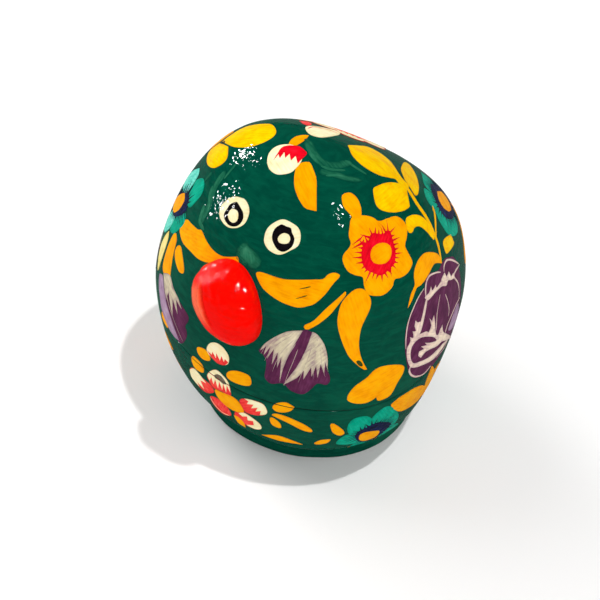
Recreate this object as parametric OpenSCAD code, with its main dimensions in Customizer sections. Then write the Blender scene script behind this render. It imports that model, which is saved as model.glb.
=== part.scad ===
// Kashmiri papier mache box: a domed lid with a beaked face, over a shallow bowl on a foot.
// Millimetres, +Z up, the face towards -Y. The origin is the middle of the foot's underside.

/* [Body] */
// Mean width of the box at its belly
body_w = 76; // [70:1:84]
// Height of the crown at the middle of the box
body_h = 73.8; // [68:0.2:84]
// Height of the belly, which is the widest level
belly_z = 33; // [31:0.5:38]
// Offset of the belly's middle from the foot's middle, to the side
belly_x = -1.7; // [-3:0.1:3]
// Offset of the belly's middle from the foot's middle, front to back
belly_y = -1.1; // [-3:0.1:3]
// Height of the cut between the bowl and the lid
seam_z = 27.8; // [24:0.2:30]
// Thickness of the pulp wall
wall = 3; // [2.2:0.1:4]
// Softening of the cut edges outside
edge_soft = 0.5; // [0.2:0.1:1]
// Paint film that keeps the lid's cut edge off the bowl's
seam_gap = 0.1; // [0.05:0.05:0.3]

/* [Plan] */
// Share by which the plan swells at both ends of its long direction
oval_share = 0.04; // [0:0.01:0.05]
// Long direction of the plan
oval_dir = 94; // [0:1:179]
// Share by which the plan swells at its three rounded corners
lobe_share = 0.04; // [0:0.01:0.06]
// Direction of one of the three corners
lobe_dir = 77; // [0:1:119]

/* [Crown] */
// Upright run of the sides above the belly: a higher number holds them up for longer
crown_rise = 1.7; // [1.4:0.05:2.2]
// Flatness of the crown: a higher number fills its shoulders
crown_flat = 2.65; // [2:0.05:3.4]
// Drop of the crown from its middle to the belly's radius
crown_drop = 17.5; // [0:0.5:20]
// Direction in which the crown drops
drop_dir = 86; // [0:1:359]
// Sideways lean of the crown's middle
crown_lean = 2.5; // [0:0.5:5]
// Direction of the lean
lean_dir = 65; // [0:1:359]

/* [Bowl] */
// Width of the bowl where its side ends, before the lower edge turns in
bowl_w = 62.5; // [58:0.5:70]
// Bulge of the bowl's side
bowl_bulge = 2.3; // [1:0.1:4]
// Height over which the lower edge turns in
turn_h = 6; // [4:0.5:8]
// Depth to which the lower edge turns in
turn_in = 5; // [3:0.5:6]

/* [Foot] */
// Width of the foot
foot_w = 55; // [50:0.5:60]
// Height of the foot
foot_h = 7; // [5:0.5:9]
// Rounding of the foot's edges
foot_round = 1.2; // [0.5:0.1:2]
// Glue line between two glued pieces
glue = 0.05; // [0.02:0.01:0.1]

/* [Collar] */
// Thickness of the collar strip
collar_t = 1.4; // [1:0.1:2]
// Height of the collar above the cut
collar_rise = 6.5; // [4:0.5:8]
// Depth to which the collar is glued below the cut
collar_seat = 6; // [4:0.5:8]
// Slope taken off the collar's upper outer edge
collar_taper = 0.5; // [0.2:0.1:0.9]
// Clearance between the collar and the inside of the lid
lid_gap = 0.3; // [0.2:0.05:0.5]

/* [Beak] */
// Width of the beak
beak_w = 19; // [14:0.5:24]
// Height of the beak
beak_h = 13; // [10:0.5:18]
// Depth by which the beak stands out from the face
beak_out = 5.7; // [3:0.1:9]
// Height of the beak's middle on the profile, before the crown's drop tips it
beak_z = 46.4; // [44:0.2:54]
// Direction in which the beak points
beak_dir = 271; // [255:1:285]
// Turn of the beak, which lifts its +X end
beak_lean = -13; // [-50:1:50]
// Share by which the beak is narrower along its upper edge
beak_egg = 0.15; // [0:0.01:0.3]

/* [Hidden] */

// Facets round the body, and rings up each stretch of its wall
around = 72;
crown_rings = 16;
cavity_rings = 12;
side_rings = 4;
turn_rings = 6;
beak_around = 40;
beak_rings = 9;
beak_back_rings = 4;
// The last ring stops this share of a step short of the crown's tip
tip_share = 0.45;
// Squareness of the beak's rounded sides
beak_round = 2.4;
// Step for measuring a slope, in degrees and millimetres
slope_step = 0.2;

belly_r = body_w / 2;
belly_mid = [belly_x, belly_y];
lean = crown_lean * [cos(lean_dir), sin(lean_dir)];
fall = crown_drop / belly_r * [cos(drop_dir), sin(drop_dir)];
lid_z = seam_z + seam_gap;

// Radius of the plan at angle a, as a share of the mean radius
function plan(a) = 1 + oval_share * cos(2 * (a - oval_dir)) + lobe_share * cos(3 * (a - lobe_dir));

// Share of the way from the belly up to the crown's middle, on a skin set in by inset
function crown_k(z, inset) = max(0, (z - belly_z) / (body_h - inset - belly_z));

// Share of the way from the belly down to the bowl's underside, on a skin set in by inset
function bowl_k(z, inset) = max(0, (belly_z - z) / (belly_z - foot_h - inset));

// Mean radius of the side at k of the way down
function side_r(k, inset) =
    let (top = pow(belly_r - inset, bowl_bulge), low = pow(bowl_w / 2 - inset, bowl_bulge))
    pow(top - (top - low) * k * k, 1 / bowl_bulge);

// Depth by which the lower edge has turned in at height z
function turned_in(z, inset) =
    let (t = max(0, min(1, (foot_h + inset + turn_h - z) / turn_h)))
    turn_in * (1 - sqrt(1 - t * t));

// Mean radius of the crown at k of the way up
function crown_r(k, inset) = (belly_r - inset) * pow(max(0, 1 - pow(k, crown_rise)), 1 / crown_flat);

// Point of the lower skin at height z and angle a
function side_point(z, a, inset) =
    let (k = bowl_k(z, inset),
         r = (side_r(k, inset) - turned_in(z, inset)) * plan(a),
         mid = belly_mid * (1 - k * k))
    [mid.x + r * cos(a), mid.y + r * sin(a), z];

// Point of the crown's skin at profile height z and angle a: the crown leans, and drops to one side
function crown_point(z, a, inset) =
    let (k = crown_k(z, inset),
         r = crown_r(k, inset) * plan(a),
         p = lean * k * k + r * [cos(a), sin(a)])
    [belly_mid.x + p.x, belly_mid.y + p.y, z - k * k * (p * fall)];

// Point of the whole skin, set in by inset
function skin(z, a, inset = 0) = z < belly_z ? side_point(z, a, inset) : crown_point(z, a, inset);

// Outward normal of the outer skin
function skin_normal(z, a) =
    let (along = skin(z, a + slope_step) - skin(z, a - slope_step),
         up = skin(z + slope_step, a) - skin(z - slope_step, a),
         n = cross(along, up))
    n / norm(n);

function ring(z, inset = 0) = [for (i = [0 : around - 1]) skin(z, 360 * i / around, inset)];

// Outline of the skin at the cut, lifted to height z, for what stands upright there
function upright_ring(z, inset) = [for (p = ring(seam_z, inset)) [p.x, p.y, z]];

// Heights from the belly to the crown's tip, closer together where the skin turns over
function crown_levels(n, inset) =
    [for (i = [1 : n]) belly_z + (body_h - inset - belly_z) * pow(sin(90 * i / (n + tip_share)), 2 / crown_rise)];

function levels(from, to, n) = [for (i = [0 : n]) from + (to - from) * i / n];

// Heights of the turned lower edge, from the flat underside up
function turn_levels(inset) =
    [for (i = [0 : turn_rings]) foot_h + inset + turn_h * (1 - cos(90 * i / turn_rings))];

function reversed(list) = [for (i = [len(list) - 1 : -1 : 0]) list[i]];

function joined(lists) = [for (list = lists) each list];

// Triangles between each ring and the next
function band_faces(n, count) =
    [for (r = [0 : count - 2], i = [0 : n - 1])
        let (j = (i + 1) % n, a = r * n, b = (r + 1) * n)
        each [[a + i, a + j, b + j], [a + i, b + j, b + i]]];

// Solid skinned over rings, closed at both ends by a point
module capped(first, rings, last) {
    n = len(rings[0]);
    count = len(rings);
    head = n * count;
    points = concat(joined(rings), [first, last]);
    faces = concat(
        [for (i = [0 : n - 1]) [head, (i + 1) % n, i]],
        band_faces(n, count),
        [for (i = [0 : n - 1]) [head - n + i, head - n + (i + 1) % n, head + 1]]);
    polyhedron(points = points, faces = faces);
}

// Solid skinned over rings that come round to the first one again
module looped(rings) {
    n = len(rings[0]);
    count = len(rings);
    last = (count - 1) * n;
    closing = [for (i = [0 : n - 1])
        let (j = (i + 1) % n)
        each [[last + i, last + j, j], [last + i, j, i]]];
    polyhedron(points = joined(rings), faces = concat(band_faces(n, count), closing));
}

// The crown, with an even wall and a cut edge
module lid_shell() {
    outside = concat(
        [for (z = reversed(crown_levels(crown_rings, 0))) ring(z)],
        [for (z = levels(belly_z, lid_z + edge_soft, side_rings)) ring(z)],
        [upright_ring(lid_z, edge_soft)]);
    inside = concat(
        [for (z = levels(lid_z, belly_z, side_rings)) ring(z, wall)],
        [for (z = crown_levels(cavity_rings, wall)) ring(z, wall)]);
    color("#00543C")
    capped(skin(body_h, 0), concat(outside, inside), skin(body_h - wall, 0, wall));
}

// The bowl, with a flat underside, a turned lower edge and a seat for the collar
module base_bowl() {
    floor_z = foot_h + wall;
    seat_z = seam_z - collar_seat - glue;
    seat = wall + lid_gap - glue;
    inside = concat(
        [for (z = turn_levels(wall)) ring(z, wall)],
        [for (z = levels(floor_z + turn_h, seat_z, side_rings)) if (z > floor_z + turn_h) ring(z, wall)],
        [upright_ring(seat_z, seat), upright_ring(seam_z, seat)]);
    outside = concat(
        [upright_ring(seam_z, edge_soft)],
        [for (z = levels(seam_z - edge_soft, foot_h + turn_h, side_rings)) if (z > foot_h + turn_h) ring(z)],
        [for (z = reversed(turn_levels(0))) ring(z)]);
    color("#00543C")
    capped([0, 0, floor_z], concat(inside, outside), [0, 0, foot_h]);
}

// The strip round the inside of the bowl's mouth that holds the lid in place
module inner_collar() {
    outer = wall + lid_gap;
    top_z = seam_z + collar_rise;
    low_z = seam_z - collar_seat;
    color("#16241C")
    looped([
        upright_ring(top_z, outer + collar_taper),
        upright_ring(top_z - 2 * collar_taper, outer),
        upright_ring(low_z, outer),
        upright_ring(low_z, outer + collar_t),
        upright_ring(top_z, outer + collar_t)]);
}

// The round foot under the bowl
module foot() {
    r = foot_w / 2;
    h = foot_h - glue;
    color("#004A34")
    rotate_extrude($fn = 96) {
        square([r - foot_round, h]);
        translate([0, foot_round]) square([r, h - 2 * foot_round]);
        for (z = [foot_round, h - foot_round])
            translate([r - foot_round, z]) circle(r = foot_round, $fn = 48);
    }
}

// Point of the beak at share s from its middle and angle t, standing out from the face by share h
function beak_point(s, t, h) =
    let (narrow = 1 - beak_egg * sin(t),
         u = s * beak_w / 2 * cos(t) * narrow,
         v = s * beak_h / 2 * sin(t),
         x = u * cos(beak_lean) - v * sin(beak_lean),
         z = beak_z + u * sin(beak_lean) + v * cos(beak_lean),
         a = beak_dir + x / belly_r * 180 / PI)
    skin(z, a) + skin_normal(z, a) * (glue + beak_out * h);

function beak_ring(s, h) = [for (i = [0 : beak_around - 1]) beak_point(s, 360 * i / beak_around, h)];

// The raised beak: a rounded lump whose back follows the face
module beak() {
    rise = [for (i = [1 : beak_rings]) 90 * i / beak_rings];
    front = [for (f = rise) beak_ring(pow(sin(f), 2 / beak_round), pow(max(0, cos(f)), 2 / beak_round))];
    back = [for (i = [beak_back_rings - 1 : -1 : 1]) beak_ring(i / beak_back_rings, 0)];
    color("#E8140C")
    capped(beak_point(0, 0, 1), concat(front, back), beak_point(0, 0, 0));
}

base_bowl();
inner_collar();
foot();
lid_shell();
beak();
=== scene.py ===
import math

import bmesh
import bpy
from mathutils import Matrix, Vector, noise
from mathutils.bvhtree import BVHTree
from mathutils.kdtree import KDTree


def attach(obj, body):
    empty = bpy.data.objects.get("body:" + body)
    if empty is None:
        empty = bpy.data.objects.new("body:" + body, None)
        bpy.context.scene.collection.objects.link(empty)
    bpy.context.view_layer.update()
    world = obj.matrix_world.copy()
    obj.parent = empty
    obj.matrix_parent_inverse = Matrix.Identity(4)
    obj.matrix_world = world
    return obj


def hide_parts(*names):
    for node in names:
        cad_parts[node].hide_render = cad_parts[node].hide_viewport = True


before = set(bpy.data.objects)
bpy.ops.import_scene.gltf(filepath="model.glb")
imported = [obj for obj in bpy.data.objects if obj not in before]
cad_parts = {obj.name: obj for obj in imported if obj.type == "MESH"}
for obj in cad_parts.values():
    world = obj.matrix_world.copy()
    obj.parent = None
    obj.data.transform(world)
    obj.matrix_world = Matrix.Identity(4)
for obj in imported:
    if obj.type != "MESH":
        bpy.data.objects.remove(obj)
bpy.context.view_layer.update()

MM = 0.001

# The body's skin, in millimetres, from the same values as the part's source.
BELLY_R = 38.0
BODY_H = 73.8
BELLY_Z = 33.0
BELLY_MID = (-1.7, -1.1)
SEAM_Z = 27.8
SEAM_GAP = 0.1
WALL = 3.0
OVAL, OVAL_DIR = 0.04, math.radians(94)
LOBE, LOBE_DIR = 0.04, math.radians(77)
CROWN_RISE, CROWN_FLAT = 1.7, 2.65
CROWN_DROP, DROP_DIR = 17.5, math.radians(86)
CROWN_LEAN, LEAN_DIR = 2.5, math.radians(65)
BOWL_R, BOWL_BULGE = 31.25, 2.3
TURN_H, TURN_IN = 6.0, 5.0
FOOT_R, FOOT_H, FOOT_ROUND = 27.5, 7.0, 1.2
GLUE = 0.05
COLLAR_T, COLLAR_RISE, COLLAR_SEAT, LID_GAP = 1.4, 6.5, 6.0, 0.3

# How finely the pieces are turned
AROUND = 192
LID_RINGS = 84
LID_WALL_RINGS = 12
CAVITY_RINGS = 40
BOWL_RINGS = 26
TURN_RINGS = 14

# Hand-made unevenness: depth in mm, and the distance from lump to lump in mm
LUMPS = ((0.24, 15.0), (0.06, 5.5))
# The saw's path wanders up and down along the cut; each wave has a depth, a length and a seed,
# and the skin near the cut follows it less and less over this many millimetres
SEAM_WANDER, SEAM_WAVE, SEAM_SEED, SEAM_FADE = 0.22, 17.0, 3.1, 3
# The bowl's lower edge was wiped round by hand, so it goes in and out over this height
EDGE_WANDER, EDGE_WAVE, EDGE_SEED, EDGE_H = 0.55, 13.0, 8.7, 9
# The foot's side goes in and out by this share of its radius
FOOT_WAVER, FOOT_WAVE, FOOT_SEED = 0.006, 11.0, 5.5
# Softened edges of the cut pulp
EDGE_SOFT = 0.3


def plan(a):
    """Share of the round radius at plan angle a: a little oval, with three soft corners."""
    return 1 + OVAL * math.cos(2 * (a - OVAL_DIR)) + LOBE * math.cos(3 * (a - LOBE_DIR))


def skin(z, a, inset=0.0):
    """Point of the skin at profile height z and plan angle a, set in by inset, in mm."""
    if z < BELLY_Z:
        k = (BELLY_Z - z) / (BELLY_Z - FOOT_H - inset)
        k = min(1.0, k)
        top, low = (BELLY_R - inset) ** BOWL_BULGE, (BOWL_R - inset) ** BOWL_BULGE
        t = max(0.0, min(1.0, (FOOT_H + inset + TURN_H - z) / TURN_H))
        r = (top - (top - low) * k * k) ** (1 / BOWL_BULGE) - TURN_IN * (1 - math.sqrt(1 - t * t))
        r *= plan(a)
        mid = 1 - k * k
        return Vector((BELLY_MID[0] * mid + r * math.cos(a), BELLY_MID[1] * mid + r * math.sin(a), z))
    k = min(1.0, (z - BELLY_Z) / (BODY_H - inset - BELLY_Z))
    r = (BELLY_R - inset) * max(0.0, 1 - k ** CROWN_RISE) ** (1 / CROWN_FLAT) * plan(a)
    x = CROWN_LEAN * math.cos(LEAN_DIR) * k * k + r * math.cos(a)
    y = CROWN_LEAN * math.sin(LEAN_DIR) * k * k + r * math.sin(a)
    fall = CROWN_DROP / BELLY_R * (x * math.cos(DROP_DIR) + y * math.sin(DROP_DIR))
    return Vector((BELLY_MID[0] + x, BELLY_MID[1] + y, z - k * k * fall))


def lumps(p):
    """How far the skin stands out or in at p, in mm, as a hand leaves it."""
    return sum(depth * noise.noise(p / size) for depth, size in LUMPS)


def outward(p):
    """Rough outward direction of the body at p."""
    return Vector((p.x - BELLY_MID[0], p.y - BELLY_MID[1], 0.8 * (p.z - BELLY_Z - 3))).normalized()


def around_wave(a, size, seed):
    """Slow wave round the body, with no jump where it closes."""
    reach = BELLY_R / size
    return noise.noise(Vector((reach * math.cos(a), reach * math.sin(a), seed)))


def seam_wander(z, a):
    """How far the saw's path lifts the skin at height z."""
    return SEAM_WANDER * around_wave(a, SEAM_WAVE, SEAM_SEED) * math.exp(-abs(z - SEAM_Z) / SEAM_FADE)


def outer_skin(z, a, inset=0.0):
    """The skin as it was shaped by hand: lumpy, with a wandering cut and a wavy lower edge."""
    p = skin(z, a, inset)
    p += outward(p) * lumps(p)
    p.z += seam_wander(z, a)
    low = max(0.0, 1 - (z - FOOT_H) / EDGE_H)
    if low > 0:
        wave = EDGE_WANDER * around_wave(a, EDGE_WAVE, EDGE_SEED) * low
        p += Vector((p.x, p.y, 0)).normalized() * wave
        if z > FOOT_H:
            p.z += 0.7 * wave * math.sin(math.pi * low)
    return p


def crown_levels(count, inset=0.0):
    """Heights of the rings over the crown, closer together towards the top."""
    rise = BODY_H - inset - BELLY_Z
    turns = [math.pi / 2 * i / count for i in range(1, count + 1)]
    return [BELLY_Z + rise * math.sin(t) ** (2 / CROWN_RISE) for t in turns]


def levels(low, high, count):
    return [low + (high - low) * i / count for i in range(count + 1)]


def bowl_levels(low, high, count):
    """Heights of the rings up the turned-in edge, which starts at low, and on up to high."""
    turn = [low + TURN_H * (1 - math.cos(math.pi / 2 * i / TURN_RINGS)) for i in range(TURN_RINGS)]
    return turn + levels(low + TURN_H, high, count)


def turned(bm, line, edges):
    """Turns a line of vertices and edges round the upright axis."""
    bmesh.ops.spin(bm, geom=line + edges, cent=(0, 0, 0), axis=(0, 0, 1), dvec=(0, 0, 0),
                   angle=2 * math.pi, steps=AROUND, use_merge=True, use_duplicate=False)


def spun(bm, heights, place, inset=0.0):
    """Spins an upright line with these heights round, then sets each vertex on the skin by place."""
    before = set(bm.verts)
    line = [bm.verts.new((BELLY_R, 0, z)) for z in heights]
    edges = [bm.edges.new(pair) for pair in zip(line, line[1:])]
    turned(bm, line, edges)
    made = [v for v in bm.verts if v not in before]
    for v in made:
        v.co = place(v.co.z, math.atan2(v.co.y, v.co.x), inset)
    bmesh.ops.remove_doubles(bm, verts=made, dist=0.002)


def rim_near(bm, z, reach=1.5):
    """Open edges that lie near height z."""
    return [e for e in bm.edges
            if e.is_boundary and abs((e.verts[0].co.z + e.verts[1].co.z) / 2 - z) < reach]


def ring_from(edge, edges):
    """Vertices of the rim that holds this edge, in order."""
    ring, left = list(edge.verts), set(edges) - {edge}
    while True:
        follow = next((e for e in ring[-1].link_edges if e in left), None)
        if follow is None:
            return ring[:-1]
        left.discard(follow)
        ring.append(follow.other_vert(ring[-1]))


def join_rims(bm, edges):
    """Faces between two rims with as many vertices each, every vertex joined to the one beside it."""
    one = ring_from(edges[0], edges)
    others = [e for e in edges if e.verts[0] not in one]
    two = ring_from(others[0], others)
    start = min(range(len(two)), key=lambda i: (two[i].co - one[0].co).length)
    two = two[start:] + two[:start]
    if (two[1].co - one[1].co).length > (two[-1].co - one[1].co).length:
        two = two[:1] + two[:0:-1]
    for i in range(len(one)):
        bm.faces.new((one[i - 1], one[i], two[i], two[i - 1]))


def inside_painted(bm, outside):
    """Gives all but the outside's faces the second material."""
    for f in bm.faces:
        f.material_index = 0 if f in outside else 1


def finished(bm, name, materials, smooth_angle=40, turn_out=True):
    """Closes the work on a mesh: outward normals, metres, smooth shading, and a named object."""
    if turn_out:
        bmesh.ops.recalc_face_normals(bm, faces=bm.faces)
    bmesh.ops.scale(bm, vec=(MM, MM, MM), verts=bm.verts)
    mesh = bpy.data.meshes.new(name)
    bm.to_mesh(mesh)
    bm.free()
    for m in materials:
        mesh.materials.append(m)
    mesh.shade_smooth()
    mesh.set_sharp_from_angle(angle=math.radians(smooth_angle))
    piece = bpy.data.objects.new(name, mesh)
    bpy.context.scene.collection.objects.link(piece)
    return piece


def lid(materials):
    """The crown: outer skin, inner skin, and a cut edge softened by paint."""
    bm = bmesh.new()
    low = SEAM_Z + SEAM_GAP
    spun(bm, levels(low, BELLY_Z, LID_WALL_RINGS) + crown_levels(LID_RINGS), outer_skin)
    outside = set(bm.faces)
    spun(bm, levels(low, BELLY_Z, 4) + crown_levels(CAVITY_RINGS, WALL), inner_lid_skin, WALL)
    edges = rim_near(bm, low)
    join_rims(bm, edges)
    # The cut faces get the dark inside paint as well: the inside is painted dark, and on the cut this is
    # painted shade, a dark line along the seam
    inside_painted(bm, outside)
    soften(bm, edges)
    return finished(bm, "papier_lid", materials)


def inner_lid_skin(z, a, inset):
    p = skin(z, a, inset)
    p.z += seam_wander(z, a)
    return p


def soften(bm, edges):
    """Rounds a cut edge; the normals come first, or the rounding leaves open edges."""
    bmesh.ops.recalc_face_normals(bm, faces=bm.faces)
    bmesh.ops.bevel(bm, geom=edges, offset=EDGE_SOFT, offset_type="OFFSET", segments=3, profile=0.5,
                    affect="EDGES", clamp_overlap=True, material=-1)


def bowl(materials):
    """The bowl: lower edge turned in, a flat underside, and a seat inside for the collar."""
    bm = bmesh.new()
    spun(bm, bowl_levels(FOOT_H, SEAM_Z, BOWL_RINGS), outer_skin)
    outside = set(bm.faces)
    floor_z, seat_z = FOOT_H + WALL, SEAM_Z - COLLAR_SEAT - GLUE
    spun(bm, bowl_levels(floor_z, seat_z, 5), skin, WALL)
    spun(bm, levels(seat_z, SEAM_Z, 4), upright_skin, WALL + LID_GAP - GLUE)
    mouth = rim_near(bm, SEAM_Z)
    join_rims(bm, mouth)
    join_rims(bm, rim_near(bm, seat_z, 0.3))
    # The cut faces get the dark inside paint as well: the inside is painted dark, and on the cut this is
    # painted shade, a dark line along the seam
    inside_painted(bm, outside)
    soften(bm, mouth)
    for z in (FOOT_H, floor_z):
        bmesh.ops.holes_fill(bm, edges=rim_near(bm, z, 1.0), sides=0)
    return finished(bm, "papier_bowl", materials)


def upright_skin(z, a, inset):
    """The outline at the cut, carried straight up or down to height z."""
    p = skin(SEAM_Z, a, inset)
    return Vector((p.x, p.y, z + seam_wander(z, a)))


def collar(materials):
    """The strip round the inside of the mouth, its upper edge rubbed thin so the lid finds it."""
    bm = bmesh.new()
    top, low = SEAM_Z + COLLAR_RISE, SEAM_Z - COLLAR_SEAT
    outer = WALL + LID_GAP
    spun(bm, levels(low, top, 14), collar_skin, outer)
    spun(bm, levels(low, top, 14), collar_skin, outer + COLLAR_T)
    for z in (low, top):
        edges = rim_near(bm, z, 0.5)
        join_rims(bm, edges)
        soften(bm, edges)
    return finished(bm, "papier_collar", materials)


def collar_skin(z, a, inset):
    """As upright_skin, but even: the strip was glued in after the cut."""
    p = skin(SEAM_Z, a, inset)
    return Vector((p.x, p.y, z))


def foot(materials):
    """The round foot: a thick disc of pulp with rubbed edges, a little uneven."""
    bm = bmesh.new()
    r, h = FOOT_R, FOOT_H - GLUE
    corner = [math.pi / 2 * i / 8 for i in range(9)]
    lower = [(r - FOOT_ROUND + FOOT_ROUND * math.sin(c), FOOT_ROUND * (1 - math.cos(c))) for c in corner]
    upper = [(x, h - z) for x, z in reversed(lower)]
    line = [bm.verts.new((x, 0, z)) for x, z in [(0, 0)] + lower + upper + [(0, h)]]
    edges = [bm.edges.new(pair) for pair in zip(line, line[1:])]
    turned(bm, line, edges)
    bmesh.ops.remove_doubles(bm, verts=bm.verts, dist=0.001)
    for v in bm.verts:
        if v.co.xy.length / r > 0.9:
            v.co.xy *= 1 + FOOT_WAVER * around_wave(math.atan2(v.co.y, v.co.x), FOOT_WAVE, FOOT_SEED)
    return finished(bm, "papier_foot", materials)


# The beak, a lump of pulp pasted on the face, from the part's values
BEAK_W, BEAK_H, BEAK_OUT = 19.0, 13.0, 5.7
BEAK_Z, BEAK_DIR, BEAK_LEAN, BEAK_EGG = 46.4, math.radians(271), math.radians(-13), 0.15
BEAK_ROUND = 2.4
BEAK_SINK = 0.5
# The fold runs slantwise down the beak. Its place, bend, length and widths are shares of the beak's
# half size; its ridge stands up and its groove goes down in mm
SLANT = 0.707
FOLD_AT, FOLD_BEND, FOLD_LONG = 0.30, 0.20, 0.42
RIDGE_AT, RIDGE_WIDE, RIDGE_UP = 0.080, 0.040, 0.55
GROOVE_WIDE, GROOVE_DOWN = 0.034, 0.85
# Painted highlight on the ridge, and painted sheen by this share on the side beyond it, reached over this
# width
SHEEN_SHARE, SHEEN_WIDE = 0.7, 0.10
# Unevenness of the beak: height in mm, waves over its half size, and seed
SWELLS, SWELLS_OVER, SWELLS_SEED = 0.22, 2.2, 4.4
PULP_LUMPS, LUMPS_OVER, LUMPS_SEED = 0.55, 5.5, 1.3
# Step over which the skin's slope is measured, in mm and in degrees
SLOPE_STEP = 0.2


def skin_normal(z, a):
    """Outward normal of the skin at profile height z and plan angle a."""
    turn = math.radians(SLOPE_STEP)
    along = skin(z, a + turn) - skin(z, a - turn)
    up = skin(z + SLOPE_STEP, a) - skin(z - SLOPE_STEP, a)
    return along.cross(up).normalized()


def beak_point(s, t, h):
    """Point of the beak at share s from its middle, in direction t, standing h mm off the face."""
    u = s * BEAK_W / 2 * math.cos(t) * (1 - BEAK_EGG * math.sin(t))
    v = s * BEAK_H / 2 * math.sin(t)
    x = u * math.cos(BEAK_LEAN) - v * math.sin(BEAK_LEAN)
    z = BEAK_Z + u * math.sin(BEAK_LEAN) + v * math.cos(BEAK_LEAN)
    a = BEAK_DIR + x / BELLY_R
    p = skin(z, a)
    return p + skin_normal(z, a) * (lumps(p) + h)


def fold(u, w):
    """How far the fold raises the beak at u across and w up, in mm, and the share of painted sheen there."""
    along, past = SLANT * (u - w), -SLANT * (u + w)
    past -= FOLD_AT - FOLD_BEND * along ** 2
    share = math.exp(-(along / FOLD_LONG) ** 4)
    ridge = share * math.exp(-((past - RIDGE_AT) / RIDGE_WIDE) ** 2)
    raised = RIDGE_UP * ridge - GROOVE_DOWN * share * math.exp(-(past / GROOVE_WIDE) ** 2)
    return raised, max(ridge, SHEEN_SHARE * share * max(0.0, min(1.0, past / SHEEN_WIDE)))


def beak(materials):
    """The beak: a soft lump with a fold down its left side, where the pulp was pressed home."""
    bm = bmesh.new()
    bmesh.ops.create_uvsphere(bm, u_segments=128, v_segments=80, radius=1)
    painted_sheen = bm.verts.layers.float.new("painted_sheen")
    # Painted sheen: the share of lighter colour on each vertex, high on the fold's ridge and on the side
    # beyond it
    for v in bm.verts:
        f = math.acos(max(-1.0, min(1.0, v.co.z)))
        t = math.atan2(v.co.y, v.co.x)
        s = math.sin(f) ** (2 / BEAK_ROUND)
        if v.co.z > 0:
            h = BEAK_OUT * math.cos(f) ** (2 / BEAK_ROUND)
            u, w = s * math.cos(t), s * math.sin(t)
            raised, v[painted_sheen] = fold(u, w)
            h += raised
            h += SWELLS * noise.noise(Vector((SWELLS_OVER * u, SWELLS_OVER * w, SWELLS_SEED)))
            # Small lumps of pulp, mostly near the top
            lumpy = max(0.12, min(1.0, 0.3 + w - 0.5 * u))
            h += PULP_LUMPS * lumpy * noise.noise(Vector((LUMPS_OVER * u, LUMPS_OVER * w, LUMPS_SEED)))
            h = max(h, 0.0)
        else:
            h = -BEAK_SINK * min(1.0, -4 * v.co.z)
        v.co = beak_point(s, t, h)
    return finished(bm, "pulp_beak", materials)


def linear(hex_colour):
    """sRGB hex to the linear colour that a socket takes."""
    parts = [int(hex_colour[i:i + 2], 16) / 255 for i in (1, 3, 5)]
    return [c / 12.92 if c <= 0.04045 else ((c + 0.055) / 1.055) ** 2.4 for c in parts] + [1.0]


def add(tree, kind, links=(), **settings):
    """Adds a node: settings name its properties or sockets, and links joins (from socket, to socket)."""
    node = tree.nodes.new(kind)
    for key, value in settings.items():
        socket = node.inputs.get(key.replace("_", " "))
        if socket is None:
            setattr(node, key, value)
        else:
            socket.default_value = value
    for source, target in links:
        tree.links.new(source, node.inputs[target])
    return node


# The Mix node's colour sockets: its number and vector ones have the same names
MIX_A, MIX_B, MIX_OUT = 6, 7, 2
# The way in which paint and varnish were swept on
SWEEP = (0.5, 0.35, 0.0)
BLACK, WHITE = (0, 0, 0, 1), (1, 1, 1, 1)


def new_material(name):
    material = bpy.data.materials.new(name)
    material.use_nodes = True
    tree = material.node_tree
    tree.nodes.clear()
    return material, tree


def varnish_relief(tree, place, strength):
    """Bump of brushed varnish: grooves about 1.5 mm apart with soft dimples between them."""
    combed = add(tree, "ShaderNodeMapping", [(place, "Vector")], Scale=(1.0, 1.0, 2.6), Rotation=SWEEP)
    grooves = add(tree, "ShaderNodeTexNoise", [(combed.outputs[0], "Vector")], Scale=330.0, Detail=1.0,
                  Distortion=0.5)
    dimples = add(tree, "ShaderNodeTexNoise", [(place, "Vector")], Scale=800.0, Detail=1.0)
    height = add(tree, "ShaderNodeMath", [(grooves.outputs["Fac"], 0), (dimples.outputs["Fac"], 1)],
                 operation="ADD")
    return add(tree, "ShaderNodeBump", [(height.outputs[0], "Height")], Strength=strength, Distance=0.0008)


def varnished(tree, place, colour, relief, roughness, coat, coat_roughness):
    """Paint of a colour under a clear coat: the coat gives the eye small sharp glints on dull paint."""
    bump = varnish_relief(tree, place, relief).outputs[0]
    shader = add(tree, "ShaderNodeBsdfPrincipled",
                 [(colour, "Base Color"), (bump, "Normal"), (bump, "Coat Normal")],
                 Roughness=roughness, IOR=1.5, Coat_Weight=coat, Coat_Roughness=coat_roughness, Coat_IOR=1.4,
                 Specular_IOR_Level=0.0)
    add(tree, "ShaderNodeOutputMaterial", [(shader.outputs[0], "Surface")])


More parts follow.
